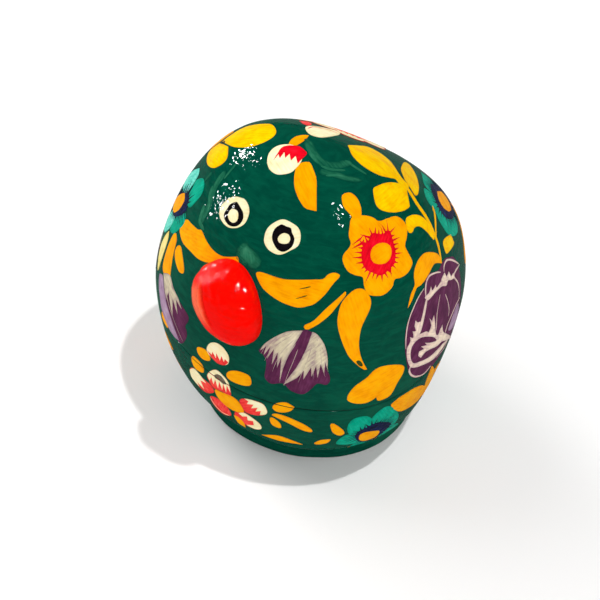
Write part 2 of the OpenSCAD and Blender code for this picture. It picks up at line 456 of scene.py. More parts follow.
def lacquer(name, paint, streak, cloud, painted_sheen=None, roughness=0.5, coat=0.35, coat_roughness=0.02, relief=0.2):
    """Water paint on pulp under brushed varnish: a clear coat with ridges that break up every highlight.

    The paint has lighter streaks and clouds, and a painted sheen colour where the mesh says so.
    """
    material, tree = new_material(name)
    place = add(tree, "ShaderNodeTexCoord").outputs["Object"]
    # Brush marks about 0.7 mm apart and 5 mm long, in wide curved sweeps
    swept = add(tree, "ShaderNodeMapping", [(place, "Vector")], Scale=(1.0, 1.0, 4.0), Rotation=SWEEP)
    marks = add(tree, "ShaderNodeTexNoise", [(swept.outputs[0], "Vector")],
                Scale=230.0, Detail=4.0, Roughness=0.62, Distortion=0.8)
    patches = add(tree, "ShaderNodeTexNoise", [(place, "Vector")], Scale=55.0, Detail=3.0, Distortion=0.6)
    tone = add(tree, "ShaderNodeValToRGB", [(marks.outputs["Fac"], "Fac")])
    low, high = tone.color_ramp.elements
    low.position, low.color = 0.40, linear(paint)
    high.position, high.color = 0.78, linear(streak)
    veil = add(tree, "ShaderNodeValToRGB", [(patches.outputs["Fac"], "Fac")])
    low, high = veil.color_ramp.elements
    low.position, low.color = 0.56, BLACK
    high.position, high.color = 0.85, WHITE
    colour = add(tree, "ShaderNodeMix", [(veil.outputs["Color"], "Factor"), (tone.outputs["Color"], MIX_A)],
                 data_type="RGBA")
    colour.inputs[MIX_B].default_value = linear(cloud)
    if painted_sheen:
        # Painted highlight and sheen over the fold: a lighter colour on its ridge and on the side beyond it
        share = add(tree, "ShaderNodeAttribute", attribute_name="painted_sheen")
        colour = add(tree, "ShaderNodeMix", [(share.outputs["Fac"], "Factor"),
                     (colour.outputs[MIX_OUT], MIX_A)], data_type="RGBA")
        colour.inputs[MIX_B].default_value = linear(painted_sheen)
    varnished(tree, place, colour.outputs[MIX_OUT], relief, roughness, coat, coat_roughness)
    return material


# Height of the box's middle over the table, in metres: the lamps shine at it
MIDDLE = 0.04


def lamp(name, azimuth, elevation, distance, size, power, mirrored=False, lights=True):
    """Square area lamp, placed round the box by its azimuth and elevation in degrees.

    The varnish shows it if it is mirrored, and the paint is lit by it if it lights.
    """
    data = bpy.data.lights.new(name, "AREA")
    data.size, data.energy = size, power
    piece = bpy.data.objects.new(name, data)
    a, e = math.radians(azimuth), math.radians(elevation)
    piece.location = Vector((math.cos(a) * math.cos(e), math.sin(a) * math.cos(e), math.sin(e))) * distance
    piece.location.z += MIDDLE
    piece.visible_glossy, piece.visible_diffuse = mirrored, lights
    bpy.context.scene.collection.objects.link(piece)
    ahead = Vector((0, 0, MIDDLE)) - piece.location
    piece.rotation_euler = ahead.to_track_quat("-Z", "Y").to_euler()


# The photograph's viewpoint: degrees round from the front, up and rolled, and millimetres away
VIEW_ROUND, VIEW_UP, VIEW_ROLL, VIEW_AWAY = 30.0, 36.0, 8.434, 260.0
VIEW_TARGET = (-1.7, -1.1, 38.0)
VIEW_LENS, SENSOR = 65.0, 36.0
# Where the target falls in the 600 x 600 picture, in pixels
PICTURE, TARGET_RIGHT, TARGET_DOWN = 600, 316.8, 264.8


def camera():
    a, e, roll = map(math.radians, (VIEW_ROUND, VIEW_UP, VIEW_ROLL))
    right = Vector((math.cos(a), math.sin(a), 0))
    ahead = Vector((-math.sin(a), math.cos(a), 0))
    back = -ahead * math.cos(e) + Vector((0, 0, math.sin(e)))
    up = ahead * math.sin(e) + Vector((0, 0, math.cos(e)))
    across = right * math.cos(roll) + up * math.sin(roll)
    upward = -right * math.sin(roll) + up * math.cos(roll)
    turned = Matrix((across, upward, back)).transposed()
    focal = VIEW_LENS / SENSOR * PICTURE
    seen = Vector((TARGET_RIGHT - PICTURE / 2, PICTURE / 2 - TARGET_DOWN, -focal)).normalized()
    turned = turned @ seen.rotation_difference(Vector((0, 0, -1))).to_matrix()
    data = bpy.data.cameras.new("camera")
    data.lens, data.sensor_width = VIEW_LENS, SENSOR
    data.clip_start, data.clip_end = 0.01, 20
    piece = bpy.data.objects.new("camera", data)
    piece.matrix_world = Matrix.Translation((Vector(VIEW_TARGET) + back * VIEW_AWAY) * MM) @ turned.to_4x4()
    bpy.context.scene.collection.objects.link(piece)
    bpy.context.scene.camera = piece


# Half the table's width in mm, and how far from the box, in metres, it starts to glow and is plain white
TABLE_HALF = 1500
GLOW_FROM, GLOW_FULL, GLOW_LEAST = 0.25, 0.7, 0.1


def table_top():
    """White table that the camera sees as white, and that keeps the box's shadow."""
    bm = bmesh.new()
    bmesh.ops.create_grid(bm, x_segments=1, y_segments=1, size=TABLE_HALF)
    material, tree = new_material("white_table")
    cloth = add(tree, "ShaderNodeBsdfDiffuse", Color=(0.88, 0.875, 0.87, 1))
    # A darker cloth for the varnish to mirror, so that no veil lies on the colours
    grey = add(tree, "ShaderNodeBsdfDiffuse", Color=(0.2, 0.2, 0.2, 1))
    glow = add(tree, "ShaderNodeEmission", Color=WHITE)
    path = add(tree, "ShaderNodeLightPath")
    seen = add(tree, "ShaderNodeMixShader", [(path.outputs["Is Glossy Ray"], 0), (cloth.outputs[0], 1),
               (grey.outputs[0], 2)])
    # The camera sees the table turn plain white away from the box
    place = add(tree, "ShaderNodeTexCoord").outputs["Object"]
    away = add(tree, "ShaderNodeVectorMath", [(place, 0)], operation="LENGTH")
    fade = add(tree, "ShaderNodeMapRange", [(away.outputs["Value"], "Value")], From_Min=GLOW_FROM,
               From_Max=GLOW_FULL, To_Min=GLOW_LEAST, To_Max=1.0)
    share = add(tree, "ShaderNodeMath", [(path.outputs["Is Camera Ray"], 0), (fade.outputs[0], 1)],
                operation="MULTIPLY")
    tree.links.new(share.outputs[0], glow.inputs["Strength"])
    mixed = add(tree, "ShaderNodeAddShader", [(seen.outputs[0], 0), (glow.outputs[0], 1)])
    add(tree, "ShaderNodeOutputMaterial", [(mixed.outputs[0], "Surface")])
    finished(bm, "table_top", [material])


def room():
    """Room: white where the camera looks, soft light for paint, and dim walls for the varnish to mirror."""
    world = bpy.data.worlds.new("pale_room")
    bpy.context.scene.world = world
    world.use_nodes = True
    tree = world.node_tree
    tree.nodes.clear()
    way = add(tree, "ShaderNodeTexCoord").outputs["Generated"]
    split = add(tree, "ShaderNodeSeparateXYZ", [(way, 0)])
    sky = add(tree, "ShaderNodeValToRGB", [(split.outputs["Z"], "Fac")])
    low, high = sky.color_ramp.elements
    low.position, low.color = 0.05, (0.52, 0.52, 0.52, 1)
    high.position, high.color = 0.7, (0.2, 0.2, 0.2, 1)
    soft = add(tree, "ShaderNodeBackground", [(sky.outputs["Color"], "Color")], Strength=1.0)
    dim = add(tree, "ShaderNodeBackground", Color=(0.03, 0.035, 0.035, 1), Strength=1.0)
    white = add(tree, "ShaderNodeBackground", Color=WHITE, Strength=1.0)
    path = add(tree, "ShaderNodeLightPath")
    lit = add(tree, "ShaderNodeMixShader", [(path.outputs["Is Glossy Ray"], 0), (soft.outputs[0], 1),
              (dim.outputs[0], 2)])
    mixed = add(tree, "ShaderNodeMixShader", [(path.outputs["Is Camera Ray"], 0), (lit.outputs[0], 1),
                (white.outputs[0], 2)])
    add(tree, "ShaderNodeOutputWorld", [(mixed.outputs[0], "Surface")])


def brushed_paint(name, tone, light, edge, gather=0.45):
    """Water paint under varnish: faint streaks along each dab, and pigment gathered at its rim."""
    material, tree = new_material(name)
    place = add(tree, "ShaderNodeTexCoord").outputs["Object"]
    brush = add(tree, "ShaderNodeUVMap", uv_map="brush").outputs["UV"]
    # Bristle marks about 0.35 mm apart along the dab
    bristles = add(tree, "ShaderNodeMapping", [(brush, "Vector")], Scale=(6.0, 50.0, 1.0))
    streaks = add(tree, "ShaderNodeTexNoise", [(bristles.outputs[0], "Vector")], Scale=2.4, Detail=3.0)
    blots = add(tree, "ShaderNodeTexNoise", [(place, "Vector")], Scale=380.0, Detail=3.0)
    mixed = add(tree, "ShaderNodeMix", [(streaks.outputs["Fac"], "A"), (blots.outputs["Fac"], "B")])
    shades = add(tree, "ShaderNodeValToRGB", [(mixed.outputs[0], "Fac")])
    stops = shades.color_ramp.elements
    stops[0].position, stops[0].color = 0.30, linear(edge)
    stops[1].position, stops[1].color = 0.50, linear(tone)
    stops.new(0.72).color = linear(light)
    rim = add(tree, "ShaderNodeAttribute", attribute_name="rim")
    gathered = add(tree, "ShaderNodeMapRange", [(rim.outputs["Fac"], "Value")], From_Max=0.9,
                   To_Min=gather, To_Max=0.0)
    colour = add(tree, "ShaderNodeMix", [(gathered.outputs[0], "Factor"), (shades.outputs["Color"], MIX_A)],
                 data_type="RGBA")
    colour.inputs[MIX_B].default_value = linear(edge)
    varnished(tree, place, colour.outputs[MIX_OUT], relief=0.2, roughness=0.6, coat=0.35, coat_roughness=0.02)
    return material


# Spacing along a painted outline and across its filling, and height of the paint, in mm
OUTLINE_STEP = 0.45
FILL_STEP = 0.85
PAINT_LIFT, COAT_STEP, PAINT_FOOT = 0.05, 0.018, 0.04
# Width of the rim where the pigment gathers
RIM_WIDTH = 0.55
# Share of the brush map that one millimetre of a dab takes
BRUSH_MAP = 0.02
# Bare strip left on each side of the cut, and how near it a sheet lies that has to be cut
CUT_BARE, CUT_NEAR = 0.16, 0.5


def between(start, leave, end, arrive):
    """Points of a smooth line from start up to end, which leaves and arrives in these directions."""
    steps = max(2, round((end - start).length / OUTLINE_STEP))
    return [(2 * t ** 3 - 3 * t ** 2 + 1) * start + (t ** 3 - 2 * t ** 2 + t) * leave
            + (3 * t ** 2 - 2 * t ** 3) * end + (t ** 3 - t ** 2) * arrive
            for t in (s / steps for s in range(steps))]


def curve(points, sharp=()):
    """Closed outline drawn smoothly through points; the ones numbered in sharp stay pointed."""
    count, outline = len(points), []
    for i in range(count):
        before, start, end, after = (Vector(points[(i + k - 1) % count]) for k in range(4))
        leave = Vector((0, 0)) if i in sharp else (end - before) / 2
        arrive = Vector((0, 0)) if (i + 1) % count in sharp else (after - start) / 2
        outline += between(start, leave, end, arrive)
    return outline


def stroke(points, start_width, end_width):
    """Outline of a brush stroke along points, whose width runs from start_width to end_width."""
    ends = [2 * Vector(points[0]) - Vector(points[1])] + [Vector(p) for p in points]
    ends.append(2 * ends[-1] - ends[-2])
    path = []
    for before, start, end, after in zip(ends, ends[1:], ends[2:], ends[3:]):
        path += between(start, (end - before) / 2, end, (after - start) / 2)
    path.append(Vector(points[-1]))
    left, right = [], []
    for i, p in enumerate(path):
        t = i / (len(path) - 1)
        along = (path[min(i + 1, len(path) - 1)] - path[max(i - 1, 0)]).normalized()
        across = Vector((-along.y, along.x))
        half = (start_width + (end_width - start_width) * t) / 2 * min(1.0, 0.35 + 6 * min(t, 1 - t))
        left.append(p + across * half)
        right.append(p - across * half)
    return left + right[::-1]


def spiky(points, reach=1.2, gap=0.8):
    """Closed outline with fine brush flicks standing out all round it."""
    smooth = curve(points)
    area = sum(a.x * b.y - b.x * a.y for a, b in zip(smooth, smooth[1:] + smooth[:1]))
    side = 1 if area > 0 else -1
    kept = [smooth[0]]
    for p in smooth[1:]:
        if (p - kept[-1]).length >= gap:
            kept.append(p)
    outline = []
    for i, (a, b) in enumerate(zip(kept, kept[1:] + kept[:1])):
        along = (b - a).normalized()
        out = Vector((along.y, -along.x)) * side
        flick = reach * (0.8 + 0.9 * noise.noise(Vector((i * 1.7, points[0][0], points[0][1]))))
        lean = 0.35 * noise.noise(Vector((i * 2.3, 5.0, points[0][0])))
        root = (a + b) / 2
        thin = along * (b - a).length * 0.26
        outline += [a, root - thin, root + (out + along * lean) * flick, root + thin]
    return outline


def oval(u, v, width, height, turn=0.0, wobble=0.04):
    """Closed oval outline, a little uneven as one dab of a brush is."""
    count = max(12, round(math.pi * (width + height) / 2 / OUTLINE_STEP))
    c, s = math.cos(math.radians(turn)), math.sin(math.radians(turn))
    outline = []
    for i in range(count):
        t = 2 * math.pi * i / count
        r = 1 + wobble * noise.noise(Vector((1.4 * math.cos(t), 1.4 * math.sin(t), u + 3 * v))) * 2
        x, y = width / 2 * math.cos(t) * r, height / 2 * math.sin(t) * r
        outline.append(Vector((u + c * x - s * y, v + s * x + c * y)))
    return outline


def leaf(base, tip, width, bend=0.0, belly=0.45):
    """Closed leaf outline from base to tip, bent to its left by this share of its length."""
    base, tip = Vector(base), Vector(tip)
    along = tip - base
    across = Vector((-along.y, along.x))
    steps = max(8, round(along.length / OUTLINE_STEP))
    power = math.log(0.5) / math.log(belly)
    left, right = [], []
    for i in range(steps + 1):
        t = i / steps
        middle = base + along * t + across * bend * math.sin(math.pi * t)
        half = width / 2 * math.sin(math.pi * t ** power) ** 0.75 if 0 < t < 1 else 0.0
        side = across.normalized() * half
        left.append(middle + side)
        if 0 < i < steps:
            right.append(middle - side)
    return left + right[::-1]


def petal(middle, way, near, far, width):
    """Closed petal outline: from near to far away from middle, in the direction way, in degrees."""
    c, s = math.cos(math.radians(way)), math.sin(math.radians(way))
    shape = ((0, 0.0), (0.22, 0.30), (0.58, 0.5), (0.88, 0.36), (1, 0.0),
             (0.88, -0.36), (0.58, -0.5), (0.22, -0.30))
    points = []
    for along, across in shape:
        x, y = near + (far - near) * along, width * across
        points.append((middle[0] + c * x - s * y, middle[1] + s * x + c * y))
    return curve(points)


def flicked(middle, way, near, far, width, teeth=5):
    """Closed outline of a petal's tip in a second colour, flicked back towards middle in fine points."""
    c, s = math.cos(math.radians(way)), math.sin(math.radians(way))
    length = far - near
    shape = [(0.55, 0.5), (0.80, 0.44), (0.96, 0.22), (1, 0.0), (0.96, -0.22), (0.80, -0.44), (0.55, -0.5)]
    for i in range(teeth):
        across = -0.5 + (i + 0.5) / teeth
        shape.append((0.30 + 0.9 * across * across, across))
        if i < teeth - 1:
            shape.append((0.66 - 0.5 * across * across, across + 0.5 / teeth))
    points = [(middle[0] + c * (near + length * x) - s * width * y,
               middle[1] + s * (near + length * x) + c * width * y) for x, y in shape]
    return curve(points, range(6, len(shape)))


def ways(count, start):
    """Directions of the petals of a flower, a little uneven as a hand sets them."""
    return [start + 360 * i / count + 5 * noise.noise(Vector((i * 1.9, start * 0.1, 2.2)))
            for i in range(count)]


def round_flower(middle=(0, 0), far=10.0, start=15.0, under="coral", over="cream", petals=6):
    """Flower of round petals, flicked with a second colour, with a yellow middle."""
    around, width = ways(petals, start), far * 5.0 / petals
    coats = [(under, petal(middle, w, far * 0.16, far, width)) for w in around]
    coats += [(over, flicked(middle, w, far * 0.16, far * 0.99, width * 0.92)) for w in around]
    return coats + [("yellow", oval(*middle, far * 0.5, far * 0.46, start))]


def star_flower(middle=(0, 0), far=9.0, start=0.0, petals=5):
    """Teal flower, every third petal in the paler teal of painted reflection, and dark flicks round a yellow
    middle.
    """
    around = ways(petals, start)
    coats = [("teal" if i % 3 else "reflected_teal", petal(middle, w, far * 0.18, far, far * 0.98))
             for i, w in enumerate(around)]
    ring = [(middle[0] + far * 0.46 * math.cos(t), middle[1] + far * 0.42 * math.sin(t))
            for t in (2 * math.pi * i / 10 for i in range(10))]
    heart = oval(*middle, far * 0.46, far * 0.40, 30)
    return coats + [("navy", spiky(ring, far * 0.17, 0.7)), ("yellow", heart)]


def leaves(*shapes):
    """Yellow leaves, each by its base, tip, width and bend."""
    return [("yellow", leaf(*shape)) for shape in shapes]


def canvas():
    """The whole outer skin without its cut, which the paint is laid on."""
    bm = bmesh.new()
    spun(bm, bowl_levels(FOOT_H, BELLY_Z, 36) + crown_levels(LID_RINGS), outer_skin)
    bmesh.ops.recalc_face_normals(bm, faces=bm.faces)
    return bm, BVHTree.FromBMesh(bm)


def bisected(bm, point, normal, **cleared):
    """Cuts a sheet along a plane."""
    bmesh.ops.bisect_plane(bm, geom=bm.verts[:] + bm.edges[:] + bm.faces[:], dist=1e-5,
                           plane_co=point, plane_no=normal, **cleared)


def filled(outline):
    """Flat face over an outline, cut into small squares so that it can bend round the body."""
    bm = bmesh.new()
    bm.faces.new([bm.verts.new((p.x, p.y, 0)) for p in outline])
    brush = bm.loops.layers.uv.new("brush")
    rim = bm.verts.layers.float.new("rim")
    for axis in (0, 1):
        low = min(p[axis] for p in outline)
        high = max(p[axis] for p in outline)
        normal = (1, 0, 0) if axis == 0 else (0, 1, 0)
        for i in range(1, math.ceil((high - low) / FILL_STEP)):
            place = [0, 0, 0]
            place[axis] = low + i * FILL_STEP
            bisected(bm, place, normal)
    edge = KDTree(len(outline))
    for i, p in enumerate(outline):
        edge.insert((p.x, p.y, 0), i)
    edge.balance()
    on_edge = {v for e in bm.edges if e.is_boundary for v in e.verts}
    for v in bm.verts:
        v[rim] = 0.0 if v in on_edge else min(1.0, edge.find(v.co)[2] / RIM_WIDTH)
    middle = sum(outline, Vector((0, 0))) / len(outline)
    long_way = (max(outline, key=lambda p: (p - middle).length) - middle).normalized()
    for f in bm.faces:
        for loop in f.loops:
            p = loop.vert.co.xy - middle
            loop[brush].uv = (p.dot(long_way) * BRUSH_MAP + 0.5,
                              p.dot(Vector((-long_way.y, long_way.x))) * BRUSH_MAP + 0.5)
    return bm


def laid(bm, spot, tree):
    """Lays a flat sheet round the body at spot."""
    origin, out, across, upward = spot
    far = 25.0
    for v in bm.verts:
        start = origin + across * v.co.x + upward * v.co.y + out * far
        hit = tree.ray_cast(start, -out, 2 * far)[0]
        v.co = hit or tree.find_nearest(start - out * far)[0]


def thickened(bm, tree, lift):
    """Gives a laid sheet the thickness of paint, with its underside just inside the lacquer."""
    below = list(bm.verts)
    made = bmesh.ops.extrude_face_region(bm, geom=bm.faces[:])
    above = [g for g in made["geom"] if isinstance(g, bmesh.types.BMVert)]
    for group, height in ((below, -PAINT_FOOT), (above, lift)):
        for v in group:
            v.co += tree.find_nearest(v.co)[1] * height
    bmesh.ops.recalc_face_normals(bm, faces=bm.faces)


def spot_at(degrees, z):
    """Place on the body: its point, outward direction, and the directions across and up there."""
    a = math.radians(degrees)
    out = skin_normal(z, a)
    across = Vector((0, 0, 1)).cross(out).normalized()
    return skin(z, a), out, across, out.cross(across)


def mark(degrees, z, coats, turn=0.0, size=1.0, mirror=1, beneath=0):
    """One painted motif: its coats, turned by degrees, sized and mirrored, at a spot on the body.

    It may lie over another motif, which has so many coats beneath it.
    """
    c, s = math.cos(math.radians(turn)), math.sin(math.radians(turn))
    spot, level, last, layers = spot_at(degrees, z), beneath - 1, None, []
    for paint, outline in coats:
        level += paint != last
        last = paint
        turned = [Vector((c * p.x * mirror - s * p.y, s * p.x * mirror + c * p.y)) * size for p in outline]
        layers.append((spot, PAINT_LIFT + COAT_STEP * level, paint, turned))
    return layers


def cut_at_seam(bm, upper):
    """Keeps the part of a sheet above or below the cut, and leaves the cut bare."""
    near = min(bm.verts, key=lambda v: abs(v.co.z - SEAM_Z)).co
    a = math.atan2(near.y - BELLY_MID[1], near.x - BELLY_MID[0])
    height = SEAM_Z + SEAM_GAP / 2 + seam_wander(SEAM_Z, a)
    height += CUT_BARE if upper else -CUT_BARE
    bisected(bm, (0, 0, height), (0, 0, 1), clear_outer=not upper, clear_inner=upper)


def painted(name, tree, paints, *marks):
    """Painted motifs as one piece on the lid, one on the bowl, or one on each side of the cut."""
    wholes = {"lid": (bmesh.new(), []), "base": (bmesh.new(), [])}
    for spot, lift, paint, outline in sum(marks, []):
        sheet = filled(outline)
        laid(sheet, spot, tree)
        heights = [v.co.z for v in sheet.verts]
        for body, (whole, used) in wholes.items():
            upper = body == "lid"
            if (max(heights) < SEAM_Z + CUT_NEAR) if upper else (min(heights) > SEAM_Z - CUT_NEAR):
                continue
            part = sheet.copy()
            if min(heights) < SEAM_Z + CUT_NEAR and max(heights) > SEAM_Z - CUT_NEAR:
                cut_at_seam(part, upper)
            if part.faces:
                thickened(part, tree, lift)
                if paint not in used:
                    used.append(paint)
                for f in part.faces:
                    f.material_index = used.index(paint)
                joined(whole, part)
            part.free()
        sheet.free()
    for body, (whole, used) in wholes.items():
        if whole.faces:
            piece = finished(whole, f"{name}_{body}", [paints[p] for p in used], 50, False)
            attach(piece, body)


def joined(whole, part):
    """Adds a part to the whole."""
    mesh = bpy.data.meshes.new("part")
    part.to_mesh(mesh)
    whole.from_mesh(mesh)
    bpy.data.meshes.remove(mesh)


def left_eye():
    return [
        ("cream", curve([(-0.5, 3.2), (1.1, 3.5), (3, 2.7), (3.9, 1.2), (3.9, -0.7), (2.6, -2.4),
            (0.4, -3.5), (-2.1, -3.3), (-3.7, -2.3), (-4.1, -0.7), (-3.3, 1.3), (-2, 2.6)])),
        ("black", curve([(-0.7, 2), (0.7, 1.7), (2.3, 1.1), (3.1, -0.1), (2.8, -1.6), (1.7, -2.6),
            (0.1, -3), (-1.6, -2.5), (-2.3, -1.6), (-2.1, -0.1), (-2, 0.7)])),
        ("cream", curve([(-0.6, 0.4), (0.8, 0.6), (1.6, -0.1), (1.9, -1.1), (1.2, -2), (0, -2.1),
            (-1, -1.5), (-1.2, -0.4)])),
    ]


def right_eye():
    return [
        ("cream", curve([(-1.3, 3.8), (0.6, 3.8), (2.5, 3.2), (3.5, 1.7), (3.6, -0.1), (2.6, -1.4),
            (0.5, -3.2), (-1.8, -3.2), (-3.3, -2.3), (-3.9, -1.1), (-3.9, 0.8), (-2.9, 2.5)])),
        ("black", curve([(-1, 2.8), (0, 2.7), (1, 2.7), (1.5, 1.9), (2.4, 0.9), (2.4, -0.8), (1.2, -2.3),
            (-0.2, -2.4), (-1.5, -1.5), (-2.3, -0.3), (-2.3, 1.3), (-1.6, 2.4)])),
        ("cream", curve([(0, 1.3), (1, 1.3), (1.6, 0.6), (1.5, -0.3), (0.7, -0.8), (-0.4, -0.9), (-1, -0.2),
            (-0.7, 0.7)])),
    ]


# These leaves are in the lit yellow: painted light, a lighter copy of the yellow where light from above falls
def crown_leaves():
    return [
        ("lit_yellow", curve([(-7.6, -5.6), (-7.8, -3.3), (-8.2, 0.3), (-6.2, 3.8), (-3.7, 6.8), (0.8, 7.9),
            (3.3, 6.8), (4, 4.1), (3, 1.4), (0.4, -1.5), (-3, -3.5)], (0,))),
        ("lit_yellow", curve([(-2, -3.5), (1.5, -3.9), (2.4, -5.5), (1.2, -8), (-2.1, -9.8), (-6.4, -10.3),
            (-9.6, -9.6), (-8.1, -6.5)], (0, 7))),
    ]


def brow_bud():
    return [
        ("yellow", curve([(-2.9, 3.6), (-3.9, 5.3), (-4.1, 7.1), (-3.6, 8.5), (-2.8, 9.3), (-1.9, 7.7),
            (-1.6, 5.9), (-1.8, 4.1)], (4,))),
        ("yellow", curve([(2.3, 0.4), (2.6, 1.6), (3.8, 2.6), (5.7, 1.6), (7.5, 0.2), (9.1, -1.9),
            (11.2, -4.9), (10.3, -5.4), (8.9, -5.8), (6.9, -5.1), (5.1, -3.9), (3.7, -2.3), (2.8, -0.8)],
            (6,))),
        ("cream", curve([(-5.3, 1.8), (-4.2, 3.4), (-2, 4.4), (0.8, 3.7), (2.3, 1.8), (2.5, -0.4),
            (2, -1.9), (0, -3.3), (-2.2, -3.2), (-3.9, -2.1), (-5.2, -0.2)])),
        ("red", curve([(-3, -1.1), (-3.5, 0.9), (-3.8, 2.6), (-2.8, 3.9), (-0.9, 4.8), (0.9, 4.5),
            (1.8, 4.1), (2, 2.6), (2.1, 0.9), (0.4, 2.2), (0.4, 0.7), (-1.1, 2), (-1.1, 0.6), (-2.4, 1.8),
            (-2.1, 0), (-3.1, 0.7)], (0, 8, 9, 10, 11, 12, 13, 14, 15))),
    ]


def cheek_swoosh():
    return [
        ("yellow", curve([(-6.7, -0.4), (-4.3, 0), (-1.3, 0.4), (0, 1), (2.4, 0.3), (4.3, -0.1),
            (6.7, -0.2), (9.3, 0.5), (12.4, 2.6), (13, 2.1), (12.9, 1.2), (9.7, -1.2), (5.5, -3.6),
            (2.6, -4.6), (-0.9, -4.9), (-4.9, -5.2), (-8.1, -4.1), (-8.3, -2.2)], (8,))),
    ]


# The petals towards the outline are in the paler teal: painted reflection, where the white room shows in the
# varnish
def left_teal():
    return [
        ("reflected_teal", curve([(-1.9, 8.1), (0.4, 8), (1.5, 5.9), (1.2, 3.4), (0.3, 1.3), (-4.1, 0.3),
            (-8.1, 0.6), (-6.6, 4)], (0, 4))),
        ("teal", curve([(1.8, 7), (4, 9.3), (6.3, 9.3), (7.8, 7.7), (7.6, 4.9), (6.7, 2.8), (3.7, 1.8),
            (2.6, 3), (2.6, 5)])),
        ("teal", curve([(4.2, -1), (6.4, 0.7), (7.9, -0.6), (7, -3.2), (5.1, -6.1), (2.1, -7.2),
            (1.9, -4.6)])),
        ("reflected_teal", curve([(0, -2.6), (1.8, -4.3), (1.3, -7.5), (-1.3, -10.7), (-6.8, -12.1), (-5.3, -8)],
            (3,))),
        ("navy", spiky([(0.4, 2.2), (3.5, 3.6), (5, 2.9), (5.7, 1.3), (5.2, -0.5), (2.8, -2.9),
            (-0.1, -4.7), (-2.9, -4.9), (-4.4, -3.7), (-3.4, -1.2)], 2.2, 0.5)),
        ("yellow", curve([(0.1, 1.9), (2.5, 1.4), (2.1, -1.5), (-0.2, -4.1), (-3.4, -5.1), (-6.1, -4.3),
            (-3.4, -0.9)], (0, 3))),
    ]


# The stroke towards the outline is in the paler yellow: painted reflection
def left_strokes():
    return [
        ("yellow", curve([(-0.3, 5.2), (1.2, 4.5), (1.9, 2.4), (2.7, -0.1), (4.1, -3.3), (1.9, -5.1),
            (-1, -4.9), (-2, -1.1), (-1.6, 3.9)], (0, 4))),
        ("yellow", curve([(3.1, 4.4), (4.3, 4.7), (6.6, 3.4), (8.6, 1.7), (8.6, 0.7), (6.9, 0.1),
            (4.3, 0.8), (2.6, 2), (2.5, 3.5)])),
        ("reflected_yellow", curve([(-5.2, 2.5), (-3.6, 1.1), (-3.4, -3.4), (-3.8, -7), (-4.6, -8.3),
            (-6.2, -7.1), (-7.8, -3.9), (-7.2, -0.6)], (0, 4))),
    ]


def left_tulip():
    return [
        ("purple", curve([(-5.4, 3.7), (-1.9, 5.6), (1.9, 3.8), (5.8, 3), (8.9, 2.2), (9.3, 1), (8.5, -1.1),
            (9.3, -2), (9.3, -3.9), (7.4, -7), (4.8, -7.8), (2.7, -5.9), (0.5, -3.5), (-2.2, -0.1)], (0,))),
        ("lilac", curve([(-8, 1.7), (-5.6, 2.9), (-3.7, 1.2), (-1.5, -0.9), (1, -2.7), (3.5, -4.8),
            (6.1, -7.2), (2.6, -8.2), (-1, -7.3), (-4.3, -5.9), (-5.9, -3.6), (-7.6, -0.4)], (0, 6))),
        ("buff", curve([(-5.4, 3.7), (-1.9, 5.6), (1.1, 4.3), (4.2, 3.4), (6.2, 2.1), (3.4, 2.7), (5, -0.2),
            (2, 1.8), (3, -2.5), (0.8, 0.4), (-0.5, 2), (-1.2, -0.8), (-3.2, 1.4)],
            (0, 4, 5, 6, 7, 8, 9, 10, 11))),
        ("buff", stroke([(-2.1, 1.4), (0.6, -0.9), (3.6, -2.9), (6.2, -4.8), (7.9, -6)], 0.35, 0.1)),
    ]


def left_low_patch():
    return [
        ("yellow", curve([(5.5, -4.6), (7.9, -4.6), (9.8, -5.4), (8.8, -6.9), (6.5, -7.1), (4.7, -6.6)],
            (0, 3))),
    ]


def top_flower():
    return [
        ("coral", curve([(8.1, -7.9), (7.4, -10.6), (5.3, -8.6), (4.3, -5.3), (5.8, -5.3)], (0,))),
        ("cream", curve([(3.9, -2.9), (4, -5.8), (2.7, -10), (0.4, -13.2), (-1.6, -8.2), (-1.8, -1.1),
            (-0.1, 0.7), (1.9, -0.1)])),
        ("coral", stroke([(3.1, -2.5), (3.3, -5.9), (1.9, -8.8), (-0.4, -10.5)], 0.3, 0.2)),
    ]


# The spray is in the lit yellow: painted light on leaves that light from above brightens
def stem_spray():
    return [
        ("lit_yellow", curve([(4.7, 14.6), (8.4, 12.9), (12.4, 10.7), (13.2, 8.2), (12, 5.5), (9.4, 3.7),
            (7.9, 2), (7.6, -0.3), (5.1, -0.5), (4.6, 0.7), (4.4, 2.2), (4.6, 3), (2.8, 4.3), (0.6, 6.2),
            (-0.6, 8.6), (-0.6, 11), (1, 13.2)], (0,))),
        ("lit_yellow", curve([(20.2, 2.2), (22.5, 0.9), (19, -0.8), (13.6, -2.5), (8.6, -3.2), (7.1, -2.8),
            (7.1, -2.2), (8, 0.2), (9.1, 1.5), (12.9, 2.7)])),
        ("lit_yellow", curve([(-4.4, 5.3), (-2.5, 5.1), (0.9, 3.9), (4, 2.1), (6.1, 0.4), (4.2, -1.1),
            (2.5, -2.5), (1.9, -3.1), (-0.4, -2.8), (-3.6, -1.4), (-5.7, 0.3), (-6.6, 1.9), (-6.1, 3.5)],
            (7,))),
        ("lit_yellow", stroke([(6.4, 0.9), (6, -0.8), (5.3, -4.2), (5.8, -8.3), (6, -11.3), (6.1, -14.3),
            (5.8, -16.4), (5.5, -18.6)], 1.5, 0.7)),
        ("lit_yellow", stroke([(12.3, -8), (10.5, -9.7), (8.1, -11.3), (6.2, -13.1)], 0.9, 0.5)),
        ("lit_yellow", curve([(-1.6, -4.2), (1, -4.8), (3.5, -6.3), (5, -8.2), (5.7, -10.3), (5.7, -12.3),
            (4.8, -12.9), (3.5, -10.6), (2.4, -8.9), (1.2, -7.7), (-0.5, -7.1), (-1.7, -7.4), (-2.7, -7),
            (-2.8, -5.7)], (7,))),
    ]


